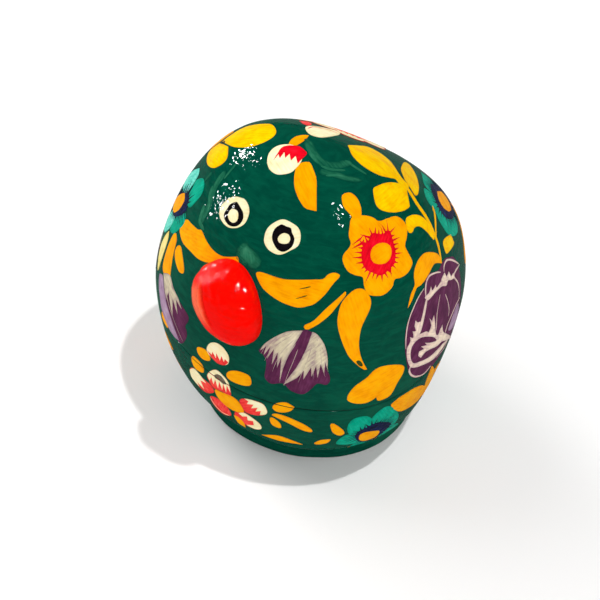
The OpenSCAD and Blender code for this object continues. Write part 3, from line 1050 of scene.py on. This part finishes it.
def right_leaf():
    return [
        ("yellow", curve([(6.9, -0.2), (4.1, 1.7), (1.2, 2.8), (-1.4, 2.5), (-3.2, 1.2), (-4, -0.1),
            (-4.4, -2.1), (-6, -3.5), (-7.4, -6.1), (-5.9, -4.9), (-4, -3), (-2.4, -3), (0.6, -2.3),
            (3.1, -1.3), (4.9, -1.3), (7.9, -2.8)], (8, 15))),
    ]


# The bud is in the lit yellow: painted light
def right_bud():
    return [
        ("lit_yellow", curve([(3.4, 0.5), (3.8, -1.4), (3.3, -2.1), (-1.7, -1.3), (-2.8, -0.3), (-2.6, 1.9),
            (-0.7, 2)], (0,))),
    ]


def right_teal():
    return [
        ("teal", curve([(7.5, 6.3), (8.6, 3.2), (5.2, 2.3), (1.6, 2), (-0.8, 3.8), (-1.6, 6.2), (0, 7.7)],
            (0,))),
        ("teal", curve([(-3.2, 8.2), (-1.7, 5.3), (-1, 3.4), (-3.4, 2.2), (-5.9, 3.2), (-7.7, 6.2),
            (-6.7, 8.1)])),
        ("teal", curve([(-6.3, 4.3), (-1.5, -0.8), (2.6, -5.7), (0.2, -7.7), (-3.9, -6.2), (-7.4, -3.2),
            (-8.6, -0.1), (-8.6, 2.8)])),
        ("navy", spiky([(3.8, 4.4), (7.6, 1), (8.6, -3), (5.5, -5.4), (0.5, -4.5), (-3.9, -1), (-4.6, 2.7),
            (-1, 5)], 2.2, 0.5)),
        ("yellow", curve([(3.2, 2.2), (6.9, -0.6), (7, -3.2), (3.6, -4), (0.2, -2.2), (-1.4, 0.3),
            (-0.5, 2.3)], (0, 4))),
    ]


def yellow_flower():
    return [
        ("yellow", curve([(-5.3, 8), (-4.4, 8.6), (-2, 8.3), (-0.2, 7.5), (1, 6.5), (3.4, 6.6), (5.9, 6.5),
            (7.7, 5.1), (8.2, 3.4), (7.6, 1.7), (6.6, 0.1), (7.2, -1.6), (8.1, -3.9), (6.5, -5.6),
            (4.3, -6.2), (2.6, -6.2), (1.8, -7.6), (-0.1, -8.7), (-1.9, -8.7), (-4.1, -7.8), (-4.8, -5.8),
            (-4.9, -4), (-6.3, -3.3), (-7.8, -2.1), (-8.5, 0.1), (-8.1, 1.5), (-6.9, 2.5), (-6.3, 3.4),
            (-6.4, 5), (-5.8, 6.8)])),
        ("red", spiky([(-4.7, 4.1), (-3.7, 3), (-2.4, 3.3), (-1.4, 4.5), (1.1, 3.8), (2.7, 4.3), (3.3, 3.7),
            (3.4, 2.4), (3.6, 1), (3.7, -0.5), (3.3, -2.1), (2.6, -3.3), (1.3, -3.5), (0.4, -4.4),
            (-1, -4.5), (-2.3, -3.7), (-3.5, -3), (-4.4, -1.9), (-4.6, -0.4), (-4.5, 1.1), (-4, 2.4)],
            1.8, 0.6)),
        ("yellow", curve([(-0.3, 2.1), (1.5, 1.8), (2.6, 0.7), (2.4, -0.9), (1.2, -2.1), (-0.5, -2.2),
            (-2.1, -1.5), (-2.6, 0), (-1.9, 1.5)])),
    ]


def petal_leaf():
    return [
        ("yellow", curve([(-1.4, 2.2), (-0.5, 2.9), (0.8, 2.9), (1.9, 1.7), (2.4, -0.1), (2.3, -1.8),
            (1.9, -2.3), (0.5, -2.4), (-0.2, -1.5), (-1.3, 0.1)])),
    ]


def smile_leaf():
    return [
        ("yellow", curve([(-8.8, 0.4), (-8.1, 1), (-6.6, 1.1), (-4.6, 1), (-2.3, 1.1), (0.7, 1.8), (3, 2.4),
            (5.2, 3), (5.9, 4), (6.9, 4.7), (8.1, 4.6), (8.3, 4), (7.4, 2.4), (6.3, -0.1), (4.7, -2.4),
            (3.2, -3.4), (1.5, -4.1), (-0.5, -4.1), (-3, -3.7), (-6.1, -2.5), (-7.6, -1.3)])),
        ("dark_scuff", stroke([(1, -0.1), (1.9, 0.3), (3.1, 0.9)], 0.12, 0.3)),
        ("dark_scuff", stroke([(0.6, -2.4), (1.6, -1.8), (2.8, -1.1)], 0.1, 0.25)),
    ]


def chin_leaves():
    return [
        ("yellow", curve([(0.9, 5.1), (1.1, 4.4), (-0.2, 2.4), (-1.9, -0.1), (-4.1, -2.3), (-6.1, -3.7),
            (-6.8, -3.5), (-6.8, -2.8), (-5.1, -1.6), (-2.9, 1.1), (-1.2, 2.9)], (0,))),
        ("yellow", curve([(3, 5.5), (4.5, 5.6), (5.5, 4.8), (6.4, 3.6), (6.7, 2.3), (6.4, 0.6), (5.6, -1.4),
            (5, -3.4), (4.9, -6.3), (5.3, -8.5), (6.2, -10.8), (7.5, -13), (6.9, -13.1), (5.2, -11.8),
            (3.2, -9.8), (2, -7.8), (0.7, -4.9), (-0.1, -2.3), (-0.2, -0.1), (0.3, 2.5), (1.6, 4.4)],
            (11,))),
        ("dark_scuff", curve([(4.8, -10.8), (5.6, -10.7), (6.4, -11.8), (6.1, -12.2), (5.3, -11.7)])),
    ]


def chin_tulip():
    return [
        ("purple", curve([(-0.8, 6.7), (0.7, 6.6), (1.9, 6), (3.4, 4), (4.6, 0.8), (5.2, -1.8), (5.9, -3),
            (6.3, -4.7), (5.6, -5.8), (3.8, -5.6), (2.6, -7.3), (1, -9), (-1.5, -8.6), (-3.5, -7.1),
            (-6, -7.9), (-7.5, -6.8), (-7.6, -4.7), (-7.7, -2.6), (-8.6, -1.2), (-9.6, -0.6), (-8.5, 1.2),
            (-6.6, 3.4), (-4, 5.2)])),
        ("buff", curve([(-1, 6.5), (-4, 5.6), (-6.6, 3.6), (-8.6, 1.3), (-9.3, -0.5), (-8.1, 1),
            (-8.4, -1.3), (-7.2, 1.2), (-7.6, -1.9), (-6.4, 0.8), (-6.4, -3), (-5.5, 0.2), (-5.2, -3.5),
            (-4.6, -0.8), (-4.2, -7), (-3.9, -3.3), (-3.1, 0.6), (-2, 3.7)],
            (0, 4, 5, 6, 7, 8, 9, 10, 11, 12, 13, 14))),
        ("buff", curve([(1, 6.6), (2.2, 6.1), (3.9, 4), (5, 1), (5.3, -1.7), (4.7, -0.1), (4.8, -2.9),
            (3.8, -0.7), (3.6, -4.1), (2.9, -1.2), (2.3, -4), (1.9, -1.7), (0.7, -5), (0.5, -2.8),
            (-0.7, -4.9), (-3.4, -7.4), (-2.3, -4.9), (-0.9, -1.7), (0.3, 2.5)],
            (0, 4, 5, 6, 7, 8, 9, 10, 11, 12, 13, 14, 15))),
        ("buff", stroke([(-3, 4.9), (-5.3, 2.7), (-7.1, 0), (-8.1, -2.6)], 0.18, 0.06)),
        ("buff", stroke([(-2.5, 4.1), (-4.3, 1.3), (-5.4, -1.5), (-6.1, -4.7)], 0.18, 0.06)),
        ("buff", stroke([(-2, 3.3), (-3.2, 0.1), (-3.9, -3.1), (-4.4, -6.3)], 0.17, 0.06)),
        ("buff", stroke([(-3.5, 5.2), (-6.2, 3.1), (-8.2, 1.1), (-9, -1.2)], 0.15, 0.06)),
        ("buff", stroke([(-1.4, 2), (-2, -1.1), (-2.7, -4.3), (-3.2, -7.6)], 0.15, 0.06)),
        ("buff", stroke([(1.9, 5.8), (3.2, 2.7), (4, -0.5), (5.1, -3.7)], 0.18, 0.06)),
        ("buff", stroke([(1.6, 4.9), (2.3, 1.7), (2.5, -1.7), (2.7, -4.5)], 0.17, 0.06)),
        ("buff", stroke([(1.4, 3.7), (1, 0.5), (0.3, -2.8), (-0.3, -6)], 0.17, 0.06)),
        ("buff", stroke([(2.4, 5), (3.8, 2.8), (4.7, 0.5), (5.6, -2.4)], 0.13, 0.06)),
    ]


def double_leaf():
    return [
        ("yellow", curve([(-6.4, -2), (-6.2, -0.8), (-5, 1.1), (-2.5, 2.9), (-0.6, 4.6), (2.3, 4.8),
            (6.6, 3.3), (7.3, 1.3), (5.9, -1.4), (4.7, -4.4), (2.6, -5), (1.2, -4.7), (0.6, -3.3),
            (0.2, -3.8), (-1.8, -4.5), (-4.2, -4.1), (-6.1, -3)], (12,))),
    ]


def rose():
    return [
        ("purple", curve([(9.5, 9.6), (12.6, 8), (15, 4.6), (16.4, 0), (16.3, -5), (14.4, -9.8),
            (11, -13.2), (6.5, -15), (1.6, -15.4), (-1.6, -15.3), (-6.8, -13.1), (-9.2, -10.7),
            (-10.2, -8.6), (-10.9, -5.9), (-11.4, -2.6), (-11.3, 0.9), (-10.6, 3.5), (-9.4, 5.4),
            (-7.6, 7.1), (-5.8, 8.5), (-3.9, 9.2), (-3.3, 10.5), (-1.3, 11.2), (2.7, 9.9), (5.2, 10.4),
            (7.4, 10.4)])),
        ("blush", stroke([(5.6, 8.1), (6, 9.2), (7.6, 9.7), (9.9, 8.8), (12.9, 6.8), (15.6, 4.6)],
            0.5, 0.35)),
        ("blush", stroke([(16.1, 4.2), (12.4, 4.6), (11.1, 3.9), (13.5, 0.9), (14.5, -1.9), (14.2, -3.8)],
            0.5, 0.35)),
        ("blush", curve([(3.2, 5.8), (3.8, 7.2), (5.8, 7.8), (6.6, 6.3), (8.2, 6.8), (9.1, 5), (11, 5),
            (11.2, 3.5), (9, 4.2), (7.1, 5.1), (5.9, 4.5), (4, 5.4)], (2, 3, 4, 5, 6, 7))),
        ("blush", stroke([(-3.9, 7), (-3.6, 8.9), (-2.7, 10.2), (-1.1, 10.7), (1.8, 9.9), (3.9, 8.9)],
            0.5, 0.3)),
        ("blush", curve([(-3.4, 5.8), (-4.3, 7), (-2.5, 7.2), (-1.4, 8.2), (-1, 7), (0.8, 7.5), (1, 6.6),
            (3.9, 7), (4.3, 5.6), (2.1, 5.8), (-0.1, 5.9), (-2.2, 5.7)], (3, 5, 7))),
        ("blush", stroke([(-3.5, 6.5), (-4.5, 4.7), (-5.6, 2.5), (-6.5, 0.7), (-7.6, -1.1)], 0.7, 1.3)),
        ("blush", stroke([(-4.2, 9.1), (-6.7, 7.9), (-9, 5.8), (-10.4, 3.4), (-11.1, 0.2), (-11.2, -2.6)],
            0.22, 0.3)),
        ("blush", curve([(-8.1, 3.2), (-7.4, 2.3), (-6.5, 2.1), (-6.8, 0.7), (-7.8, -0.9), (-9.2, -1.9),
            (-10.4, -3.8), (-10.9, -2.7), (-9.8, -1.2), (-10, -0.1), (-8.9, -0.8), (-9.1, 0.9), (-8.1, 0.5),
            (-8.5, 1.9)], (0, 9, 11, 13))),
        ("blush", curve([(-6.3, -1.1), (-4.4, -1.6), (-3.4, -2.3), (-2.4, -1.1), (-3.1, 1.1), (-2.1, -0.2),
            (-1.2, 0.9), (-0.8, -1.2), (-0.3, -4.4), (1, -5.7), (1.9, -4.8), (3.2, -4.2), (4, -6.6),
            (7.3, -9.4), (15.2, -15.8), (8.2, -11.8), (4.2, -9.6), (1.2, -9), (-1.9, -7.8), (-4.4, -7.2),
            (-6, -7.8), (-7.1, -6.6), (-6.8, -5.6), (-5.1, -5.9), (-6.2, -4.6), (-4, -5.5), (-4.8, -4.4),
            (-2.5, -5.7), (0.5, -6.9), (-1.3, -4.9), (-4, -3.2), (-6.3, -2.2), (-8.2, -2.2), (-9.5, -3.2),
            (-9.7, -5.5), (-8.7, -7.7), (-6.4, -8.7), (-2.1, -10), (2, -10.6), (5.7, -11), (9.6, -12.8),
            (5.6, -13), (1.8, -13), (-3.9, -11), (-8.2, -9.3), (-9.8, -7.9), (-10.8, -5.2), (-10.8, -2.8),
            (-9.6, -1.4), (-8, -0.9)], (3, 4, 5, 6, 10, 11, 20, 22, 23, 24, 25, 26, 38))),
        ("blush", stroke([(9.6, -12.8), (8.3, -14.2), (5.4, -13.8), (3.2, -13.7)], 0.35, 0.15)),
        ("blush", stroke([(2.3, 4.2), (1.2, 2.4), (0.2, 0.1), (-0.2, -3.7)], 0.15, 0.35)),
        ("blush", stroke([(4.9, 2.9), (6.2, 0.1), (6.9, -2.5), (6.5, -3.9)], 0.2, 0.3)),
        ("blush", stroke([(15, -3.9), (11.6, -4), (8.7, -5), (6.3, -6.2), (5.2, -8.1)], 0.3, 0.5)),
        ("lilac", curve([(13.5, -4.6), (10.6, -5), (8.6, -6.6), (7.6, -8.5), (11.6, -10.4), (14.8, -9.8),
            (15, -7)])),
        ("blush", stroke([(-9.5, -8.2), (-9.7, -9.4), (-8.4, -11.4), (-5.9, -13.3), (-2.3, -14.8),
            (0.7, -14.5)], 0.5, 0.25)),
    ]


def low_bud():
    return [
        ("cream", curve([(-3.2, -0.7), (-2.4, 1.2), (-0.6, 2.3), (1.4, 2.1), (3, 0.9), (3.3, -0.8),
            (2.5, -1.9), (0.6, -2.7), (-1.4, -2.3), (-2.7, -1.8)])),
        ("coral", curve([(-3, -1.2), (-1.4, -2.3), (0.6, -2.7), (2.5, -1.9), (3.2, -0.7), (2.2, -0.4),
            (2.1, -1.3), (1.2, -0.2), (1, -1.6), (-0.3, -0.3), (-0.2, -1.7), (-1.4, -0.6), (-1.5, -1.5)],
            (0, 4, 5, 6, 7, 8, 9, 10, 11, 12))),
    ]


def low_leaves():
    return [
        ("yellow", curve([(-3.7, -1.1), (-3.1, -0.1), (-0.9, 0.6), (0.7, -0.5), (0.6, -1.6), (-1.3, -2.6),
            (-3, -2.3)])),
        ("yellow", curve([(5.7, -2.1), (6.6, -0.7), (8.6, 0.4), (11.1, 0.6), (11.9, -0.6), (11.8, -1.9),
            (10.5, -2.8), (7.6, -3.4), (6, -3.1)])),
    ]


def seam_leaf():
    return [
        ("yellow", curve([(-0.6, -0.5), (0.5, 0.8), (3.4, 0.5), (4, -1.2), (3.2, -2.3), (0.7, -3),
            (-0.4, -2)], (0,))),
    ]


def coral_flower():
    return [
        ("coral", curve([(-11.9, -0.2), (-9.9, 2.2), (-7, 1.7), (-4.2, 1.8), (-3.1, 0.3), (-4.1, -1.4),
            (-6.8, -3.7), (-9.3, -4), (-11.7, -3.2)])),
        ("coral", curve([(-4, 6.4), (-2, 8.2), (0.5, 7.5), (1.6, 6.2), (2.1, 3.7), (1.8, 2.5), (-0.6, 2.3),
            (-3.2, 1.5), (-4.6, 3.1), (-5, 4.3)])),
        ("coral", curve([(4.4, 2.4), (5.3, 3.8), (7.8, 4.6), (10.1, 4.4), (11, 2.5), (10.6, 1), (8.4, -0.5),
            (5.9, -0.9), (5, 0.4)])),
        ("coral", curve([(-5.2, -4.1), (-2.9, -2.1), (-0.1, -2.3), (1.1, -4.7), (0.5, -6.8), (-2.7, -9.1),
            (-4.8, -7.9)])),
        ("coral", curve([(2.5, -3.5), (4.6, -1.2), (7.1, -2.1), (8.9, -3.7), (9, -5.8), (7.2, -7.2),
            (4.7, -6.9), (2.7, -6.3)])),
        ("cream", curve([(-11.9, -0.2), (-9.9, 2.2), (-7.7, 2), (-5.6, 1), (-7.8, 0), (-6.9, -2.6),
            (-9.4, -2.4), (-9, -3.9), (-11.7, -3.2)], (0, 3, 4, 5, 6, 7))),
        ("cream", curve([(-4, 6.4), (-2, 8.2), (0.5, 7.5), (1.6, 6.2), (2, 3.8), (1, 5.5), (0.8, 3),
            (0, 5.5), (-0.3, 3), (-1.2, 5.3), (-1.6, 2.6), (-2.4, 5), (-3, 2.9), (-3.6, 4.8), (-4.2, 3.2),
            (-4.9, 4.4)], (0, 4, 5, 6, 7, 8, 9, 10, 11, 12, 13, 14))),
        ("cream", curve([(5.7, 4.1), (7.8, 4.6), (10.1, 4.4), (11, 2.5), (10.7, 1.1), (9.3, 0.2),
            (9.6, 1.8), (8.3, 1), (8.9, 2.6), (7.3, 1.6), (7.9, 3.2), (6.3, 2.6), (6.7, 3.7)],
            (0, 5, 6, 7, 8, 9, 10, 11, 12))),
        ("cream", curve([(3.7, -2.8), (5.1, -1.5), (7.1, -2.1), (8.9, -3.7), (9, -5.8), (7.2, -7.1),
            (5.1, -6.8), (7.3, -5.3), (7.3, -3.5), (5.9, -4.1), (5.9, -2.5), (4.6, -3.4)],
            (0, 6, 7, 8, 9, 10, 11))),
        ("cream", stroke([(-5.2, -4.1), (-4.8, -6), (-3.8, -7.7), (-2.1, -8.2), (0.2, -7)], 0.25, 0.2)),
        ("yellow", curve([(-2.7, 1.2), (-0.6, 2), (2.2, 2.7), (4, 2.1), (5, 0.4), (5.3, -1), (4.5, -1.9),
            (2.6, -2.7), (0.3, -2.6), (-2, -1.3)])),
        ("yellow", curve([(2, -5), (3.2, -4.7), (4.5, -6.2), (4.5, -8.6), (2.6, -8)], (0, 3))),
        ("bare_pulp", curve([(-2.8, 6), (-1.8, 7.1), (-0.6, 7.3), (0.4, 6.6), (1, 5.8), (0, 5.3),
            (-1.2, 5.6), (-2.2, 5.5)], (0, 4))),
    ]


def seam_bud():
    return [
        ("yellow", curve([(-2.4, -0.9), (-1.6, 0.8), (0.5, 1.8), (2.4, 0.8), (1.8, -0.5), (0.4, -1.6),
            (-1.4, -1.9)], (3,))),
    ]


def low_strokes():
    return [
        ("yellow", curve([(-3.3, 2.9), (-2.3, 3.8), (0.3, 3.5), (3.7, 1.9), (5.8, -0.1), (5.7, -1.1),
            (3.9, -0.7), (0.8, 1.2), (-1.9, 2.3)])),
        ("yellow", curve([(-3.7, 1.4), (-3, 1.9), (-1.4, 0.6), (-1, -1.3), (-2.1, -1.5), (-3.3, -0.7)])),
        ("yellow", curve([(-5.5, -7.9), (-2, -5.4), (1.1, -5.8), (4.2, -7.4), (1.2, -7.5), (-1.9, -7.8)],
            (0, 3))),
    ]


def low_dabs():
    return [
        ("yellow", curve([(-2.2, 6.3), (-1.4, 6.7), (0.9, 4.3), (1.7, 2.4), (0.7, 1.7), (-1.1, 3.3)])),
        ("yellow", curve([(-4.4, -2), (-3.2, -0.1), (-1, 0.2), (-1.4, -1.4), (-3.1, -2.4)], (2,))),
    ]


def low_teal():
    return [
        ("teal", curve([(-7, 3.5), (-7.5, 6.3), (-6.6, 8.2), (-4.2, 8.5), (-2.2, 7.2), (-0.6, 4.6),
            (-0.2, 1.6), (-2.4, 0.1), (-5.3, 1.1)])),
        ("teal", curve([(-1.9, 6.3), (-0.4, 8.8), (2.3, 9.1), (6.1, 4.8), (8, 0.7), (7.1, -2.1), (2.5, 0.4),
            (-0.5, 2.6)])),
        ("teal", curve([(-7.9, -2.3), (-8.1, -0.2), (-6.6, 1.9), (-3.6, 0.6), (-2.1, -2.4), (-3.3, -3.3),
            (-5.4, -3.3)])),
        ("teal", curve([(-3.4, -5.4), (-2.7, -2.8), (2.4, -6), (2.7, -5.7), (1.4, -6), (-0.7, -6.2),
            (-2.5, -6.3)])),
        ("teal", curve([(3.4, -3.5), (5.7, -1.7), (8.8, -2.7), (10.6, -5), (8.9, -5.5), (6.2, -5.6),
            (4.5, -5.8)])),
        ("navy", spiky([(-4.3, 0.4), (-3.9, 2.8), (-2.3, 3.5), (-0.6, 4.3), (2.2, 3.4), (5.7, 0.5),
            (5.6, -1.3), (4.6, -2.5), (3.2, -3.9), (0.8, -4.1), (-2.1, -2.8)], 2.2, 0.5)),
        ("yellow", curve([(-3, -0.5), (-3, 1), (-1.4, 1.3), (1.8, 0), (2.9, -1.3), (2.6, -3.5),
            (-0.1, -3.6), (-2.1, -2.3)])),
    ]


def low_leaf():
    return [
        ("yellow", curve([(-5.4, 0), (-5, 1.2), (-2, 2), (2.5, 1.3), (7.8, -2.1), (12.2, -8.1), (9.5, -8.7),
            (4.5, -7.1), (-1.3, -4.3)])),
    ]


def rim_dabs():
    return [
        ("yellow", curve([(-5.5, -1), (-2.4, -0.5), (0, -0.1), (2.1, 0.1), (0.7, -0.1), (-2.8, -0.5)],
            (0, 3))),
    ]


def right_low_strip():
    return [
        ("yellow", curve([(2.9, -0.4), (7.2, -5.4), (10.6, -12.1), (8.3, -13.9), (7.2, -14.5), (3.2, -8),
            (2.3, -3.2)], (0, 4))),
    ]


# Painted reflection: paler green brush strokes where the white room shows in the varnish, left of the left
# eye
def left_reflection():
    return [
        ("haze", stroke([(5.7, 5.2), (6.1, 3), (6.6, 1), (7.6, -0.7), (8.8, -2.6), (9.2, -5), (9.8, -7.3)],
            2.2, 1.8)),
        ("haze", stroke([(2.2, 1.9), (1.9, 0.1), (2.1, -1.5)], 1.4, 1.2)),
        ("pale_haze", stroke([(5.4, 4.6), (5.6, 2.9), (6.5, 0.7)], 0.8, 0.6)),
        ("pale_haze", stroke([(5.8, 0.6), (7.1, -1.2), (9.1, -2.8), (9.8, -5.1)], 0.9, 0.7)),
        ("pale_haze", stroke([(7.5, -3.5), (8.3, -5.3), (9.1, -6.8), (11.5, -6.9)], 1.2, 0.8)),
        ("pale_haze", stroke([(6.3, 8), (6.7, 6), (7.1, 3.9)], 0.6, 0.5)),
    ]


# Painted reflection: paler green strokes below the eyes
def brow_reflection():
    return [
        ("haze", stroke([(8.8, 12.8), (10.8, 12.3), (12.8, 12.1), (14.8, 11.1)], 4.2, 3.4)),
        ("haze", stroke([(8.8, 11.3), (10.6, 10.7), (12.7, 10.3)], 1.6, 1.2)),
        ("pale_haze", stroke([(9.8, 12.7), (11.6, 12.3), (13.6, 11.6)], 2.8, 2.2)),
    ]


# Painted reflection: paler green strokes on the crown
def crown_reflection():
    return [
        ("haze", stroke([(-4.6, 14.4), (-4.2, 10.9), (-3, 8.1), (-0.8, 6.7), (2.1, 7.3), (4.5, 8.6)],
            2.4, 2)),
        ("haze", stroke([(-3.2, 5.1), (-0.3, 4.8), (2.9, 3.9), (6.2, 3.9)], 1.8, 1.4)),
        ("pale_haze", stroke([(-5, 12.4), (-4.3, 9.2), (-3, 7.1)], 0.7, 0.6)),
        ("pale_haze", stroke([(-2.5, 6.4), (-0.2, 5.7), (2.6, 5.8)], 0.6, 0.5)),
        ("pale_haze", stroke([(-1.6, 4.2), (1.2, 4.4), (4.2, 3.6)], 0.6, 0.5)),
        ("pale_haze", stroke([(2.9, 8.5), (4.9, 7), (7.3, 5.6)], 0.7, 0.5)),
    ]


def small_marks():
    return [
        ("black", curve([(-8, -4), (-7.8, -3.4), (-6.2, -2.7), (-5.8, -2.9), (-6.5, -3.6)])),
    ]


# The dark green ground
GROUND = "#004334"


def paint_colours():
    """The painter's colours: each has a tone, a lighter and a darker one, as a loaded brush leaves."""
    tones = {
        "yellow": ("#FFA800", "#FFB908", "#F08C00"),
        # A lighter copy of the yellow: painted light for leaves that light from above brightens
        "lit_yellow": ("#FFC800", "#FFDE08", "#F7A400"),
        # A paler copy of the yellow: painted reflection near the outline
        "reflected_yellow": ("#F8E38A", "#FFF2B4", "#E8C860"),
        "cream": ("#FFF3C4", "#FFFAE0", "#EEDCA0"),
        "red": ("#EE0A22", "#FF2338", "#C80A1C"),
        "blush": ("#F2DEC6", "#FFF1DC", "#B88C9A"),
        "buff": ("#CFC3A4", "#EADFC2", "#8E6C80"),
        "coral": ("#F9403A", "#FF6A60", "#DD2630"),
        "teal": ("#00A283", "#12BC9A", "#00876C"),
        # A paler copy of the teal: painted reflection near the outline
        "reflected_teal": ("#6FDCC8", "#9CEBDC", "#37B8A2"),
        "navy": ("#121C40", "#1A2F62", "#0A1026"),
        "purple": ("#5C2848", "#743A62", "#461C3C"),
        "lilac": ("#A88AA6", "#C9B4C6", "#8C6A88"),
        "black": ("#120E11", "#1C171A", "#0A0709"),
        "dark_scuff": ("#3C4A1C", "#5A5C24", "#2C3A18"),
        "bare_pulp": ("#7A6A58", "#8E7E6A", "#5A4C40"),
    }
    paints = {name: brushed_paint(f"{name}_water_paint", *hexes) for name, hexes in tones.items()}
    # Painted reflection: paler greens over the ground, fading into it at their rims
    paints["haze"] = brushed_paint("haze_thin_green_brushed", "#185F45", "#2C7658", GROUND, gather=1.0)
    paints["pale_haze"] = brushed_paint("pale_haze_thin_green_brushed", "#2C7A5A", "#46906F", "#185F45",
                                        gather=0.8)
    return paints


def build_pieces():
    """The five solids as they were made by hand, each in place of the part's own."""
    green = lacquer("green_lacquer_brushed_on_pulp", GROUND, "#045540", "#0C6047")
    inside = lacquer("dark_paint_inside", "#1B2B24", "#263A31", "#30483D", coat=0.3, coat_roughness=0.3)
    # The red's last colour is the painted sheen on the beak's fold, lighter on its ridge and on the side
    # beyond it
    red = lacquer("red_lacquer_thick_on_pulp", "#FC0600", "#F01004", "#FF2A18", "#FF7A50", coat=0.6,
                  relief=0.3)
    pieces = (
        (lid([green, inside]), "lid", "lid_shell", "green_lacquer"),
        (beak([red]), "lid", "beak", "red_lacquer"),
        (bowl([green, inside]), "base", "base_bowl", "green_lacquer"),
        (foot([green]), "base", "foot", "green_lacquer"),
        (collar([inside]), "base", "inner_collar", "dark_inside"),
    )
    for piece, body, node, slot in pieces:
        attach(piece, body)
        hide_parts(node)


def paint_front(paint):
    """The motifs of the photograph, from the crown down to the foot."""
    # Painted reflection, laid on the lid as brush strokes of paler green
    paint("haze", mark(228, 60, left_reflection()), mark(252, 46, brow_reflection()), mark(300, 67, crown_reflection()))
    paint("eyes", mark(259, 59, left_eye()), mark(284, 59, right_eye()))
    paint("crown_leaves", mark(231, 67, crown_leaves()), mark(231, 66, small_marks()))
    paint("brow_bud", mark(270, 68.5, brow_bud()))
    paint("left_side", mark(247, 52.5, cheek_swoosh()), mark(221, 52.5, left_teal()),
          mark(232, 44, left_strokes()), mark(241, 36, left_tulip()), mark(226, 34, left_low_patch()))
    paint("top_flower", mark(262, 73, top_flower()),
          mark(262, 73, round_flower((2.5, -22), 10.5, 20, petals=7), beneath=2))
    paint("stem_spray", mark(338, 68, stem_spray()), mark(346, 56, right_leaf()), mark(12, 56.5, right_bud()))
    paint("right_teal", mark(31, 63, right_teal()))
    paint("yellow_flower", mark(308, 66, petal_leaf()), mark(323, 60, yellow_flower()))
    paint("smile", mark(293, 53, smile_leaf()), mark(309, 50, chin_leaves()))
    paint("chin_tulip", mark(300, 41, chin_tulip()))
    paint("double_leaf", mark(325, 34, double_leaf()))
    paint("rose", mark(353, 44, rose()))
    paint("low_left", mark(271, 35, low_bud()), mark(267, 33, low_leaves()), mark(259, 28, seam_leaf()),
          mark(274, 22, coral_flower()))
    paint("low_middle", mark(296, 27.4, seam_bud()), mark(297, 21, low_strokes()), mark(314, 17, low_dabs()))
    paint("low_right", mark(342, 25, low_leaf()), mark(328, 16.5, low_teal()), mark(330, 11, rim_dabs()),
          mark(352, 29, right_low_strip()))


def paint_back(paint):
    """The side away from the photograph: the same flowers in the same hand."""
    paint("back_rose", mark(118, 45, rose(), -15, 0.92, -1))
    paint("back_yellow_flower", mark(74, 54, yellow_flower(), 40))
    paint("back_spray", mark(150, 66, stem_spray(), -20, 0.95, -1))
    paint("back_star", mark(183, 52, star_flower(far=9.5)),
          mark(203, 63, leaves(((0, -4), (1, 5), 5.5, 0.1))))
    paint("back_tulips", mark(205, 38, chin_tulip(), 15, 0.9, -1), mark(62, 37, chin_tulip(), -10, 0.85))
    paint("back_leaves", mark(160, 38, double_leaf(), 20), mark(88, 36, double_leaf(), -30, 0.9, -1),
          mark(45, 46, chin_leaves(), 150, 0.9), mark(150, 47, smile_leaf(), 200, 0.9))
    paint("low_back_left", mark(207, 18, round_flower(far=8.5)), mark(236, 17, leaves(
        ((-5, 2), (3, 4), 3.2, 0.1), ((-4, -2), (3, -3), 2.6, -0.1))))
    paint("low_back", mark(165, 18, star_flower(far=8)), mark(186, 19, leaves(
        ((-4, 3), (4, 4.5), 3.4, 0.12), ((-4, -3), (4, -2), 2.8, -0.1))),
          mark(124, 18.5, yellow_flower(), 10, 0.85))
    paint("low_back_right", mark(80, 18, round_flower(far=8.5, start=40)), mark(102, 19, leaves(
        ((4, 3), (-4, 4), 3.2, 0.1), ((4, -3), (-3, -3.5), 2.8, -0.1))),
          mark(36, 18, star_flower(far=8, start=30)),
          mark(58, 19, leaves(((-4, 3), (4, 4), 3, 0.1), ((-3, -3.5), (4, -2.5), 2.6, -0.1))),
          mark(5, 20, leaves(((-5, 0), (5, 2), 3.6, 0.1))))


def light():
    """Lamps that light the box, and others that only the varnish mirrors."""
    lamp("ceiling_lamp", 3, 76, 1.5, 0.05, 10.0)
    lamp("window_light", 166, 21, 1.2, 0.4, 4.5)
    lamp("soft_left", 195, 40, 1.5, 1.0, 9.0)
    lamp("soft_right", 350, 38, 1.5, 1.0, 5.0)
    lamp("soft_front", 285, 18, 1.5, 1.2, 4.5)
    # What the varnish mirrors: window panes and a lamp, seen only by it
    for name, azimuth, elevation, size, power in (
            ("pane_high", 175, 21, 0.09, 5.4), ("pane_low", 205, 8, 0.07, 2.8),
            ("pane_left", 186, 28, 0.06, 2.2), ("lamp_right", 328, 52, 0.07, 3.6)):
        lamp(name, azimuth, elevation, 1.0, size, power, mirrored=True, lights=False)


def main():
    build_pieces()
    skin_mesh, tree = canvas()
    paints = paint_colours()

    def paint(name, *marks):
        painted(f"painted_{name}", tree, paints, *marks)

    paint_front(paint)
    paint_back(paint)
    skin_mesh.free()
    table_top()
    room()
    light()
    camera()
    bpy.context.scene.view_settings.view_transform = "Standard"


main()
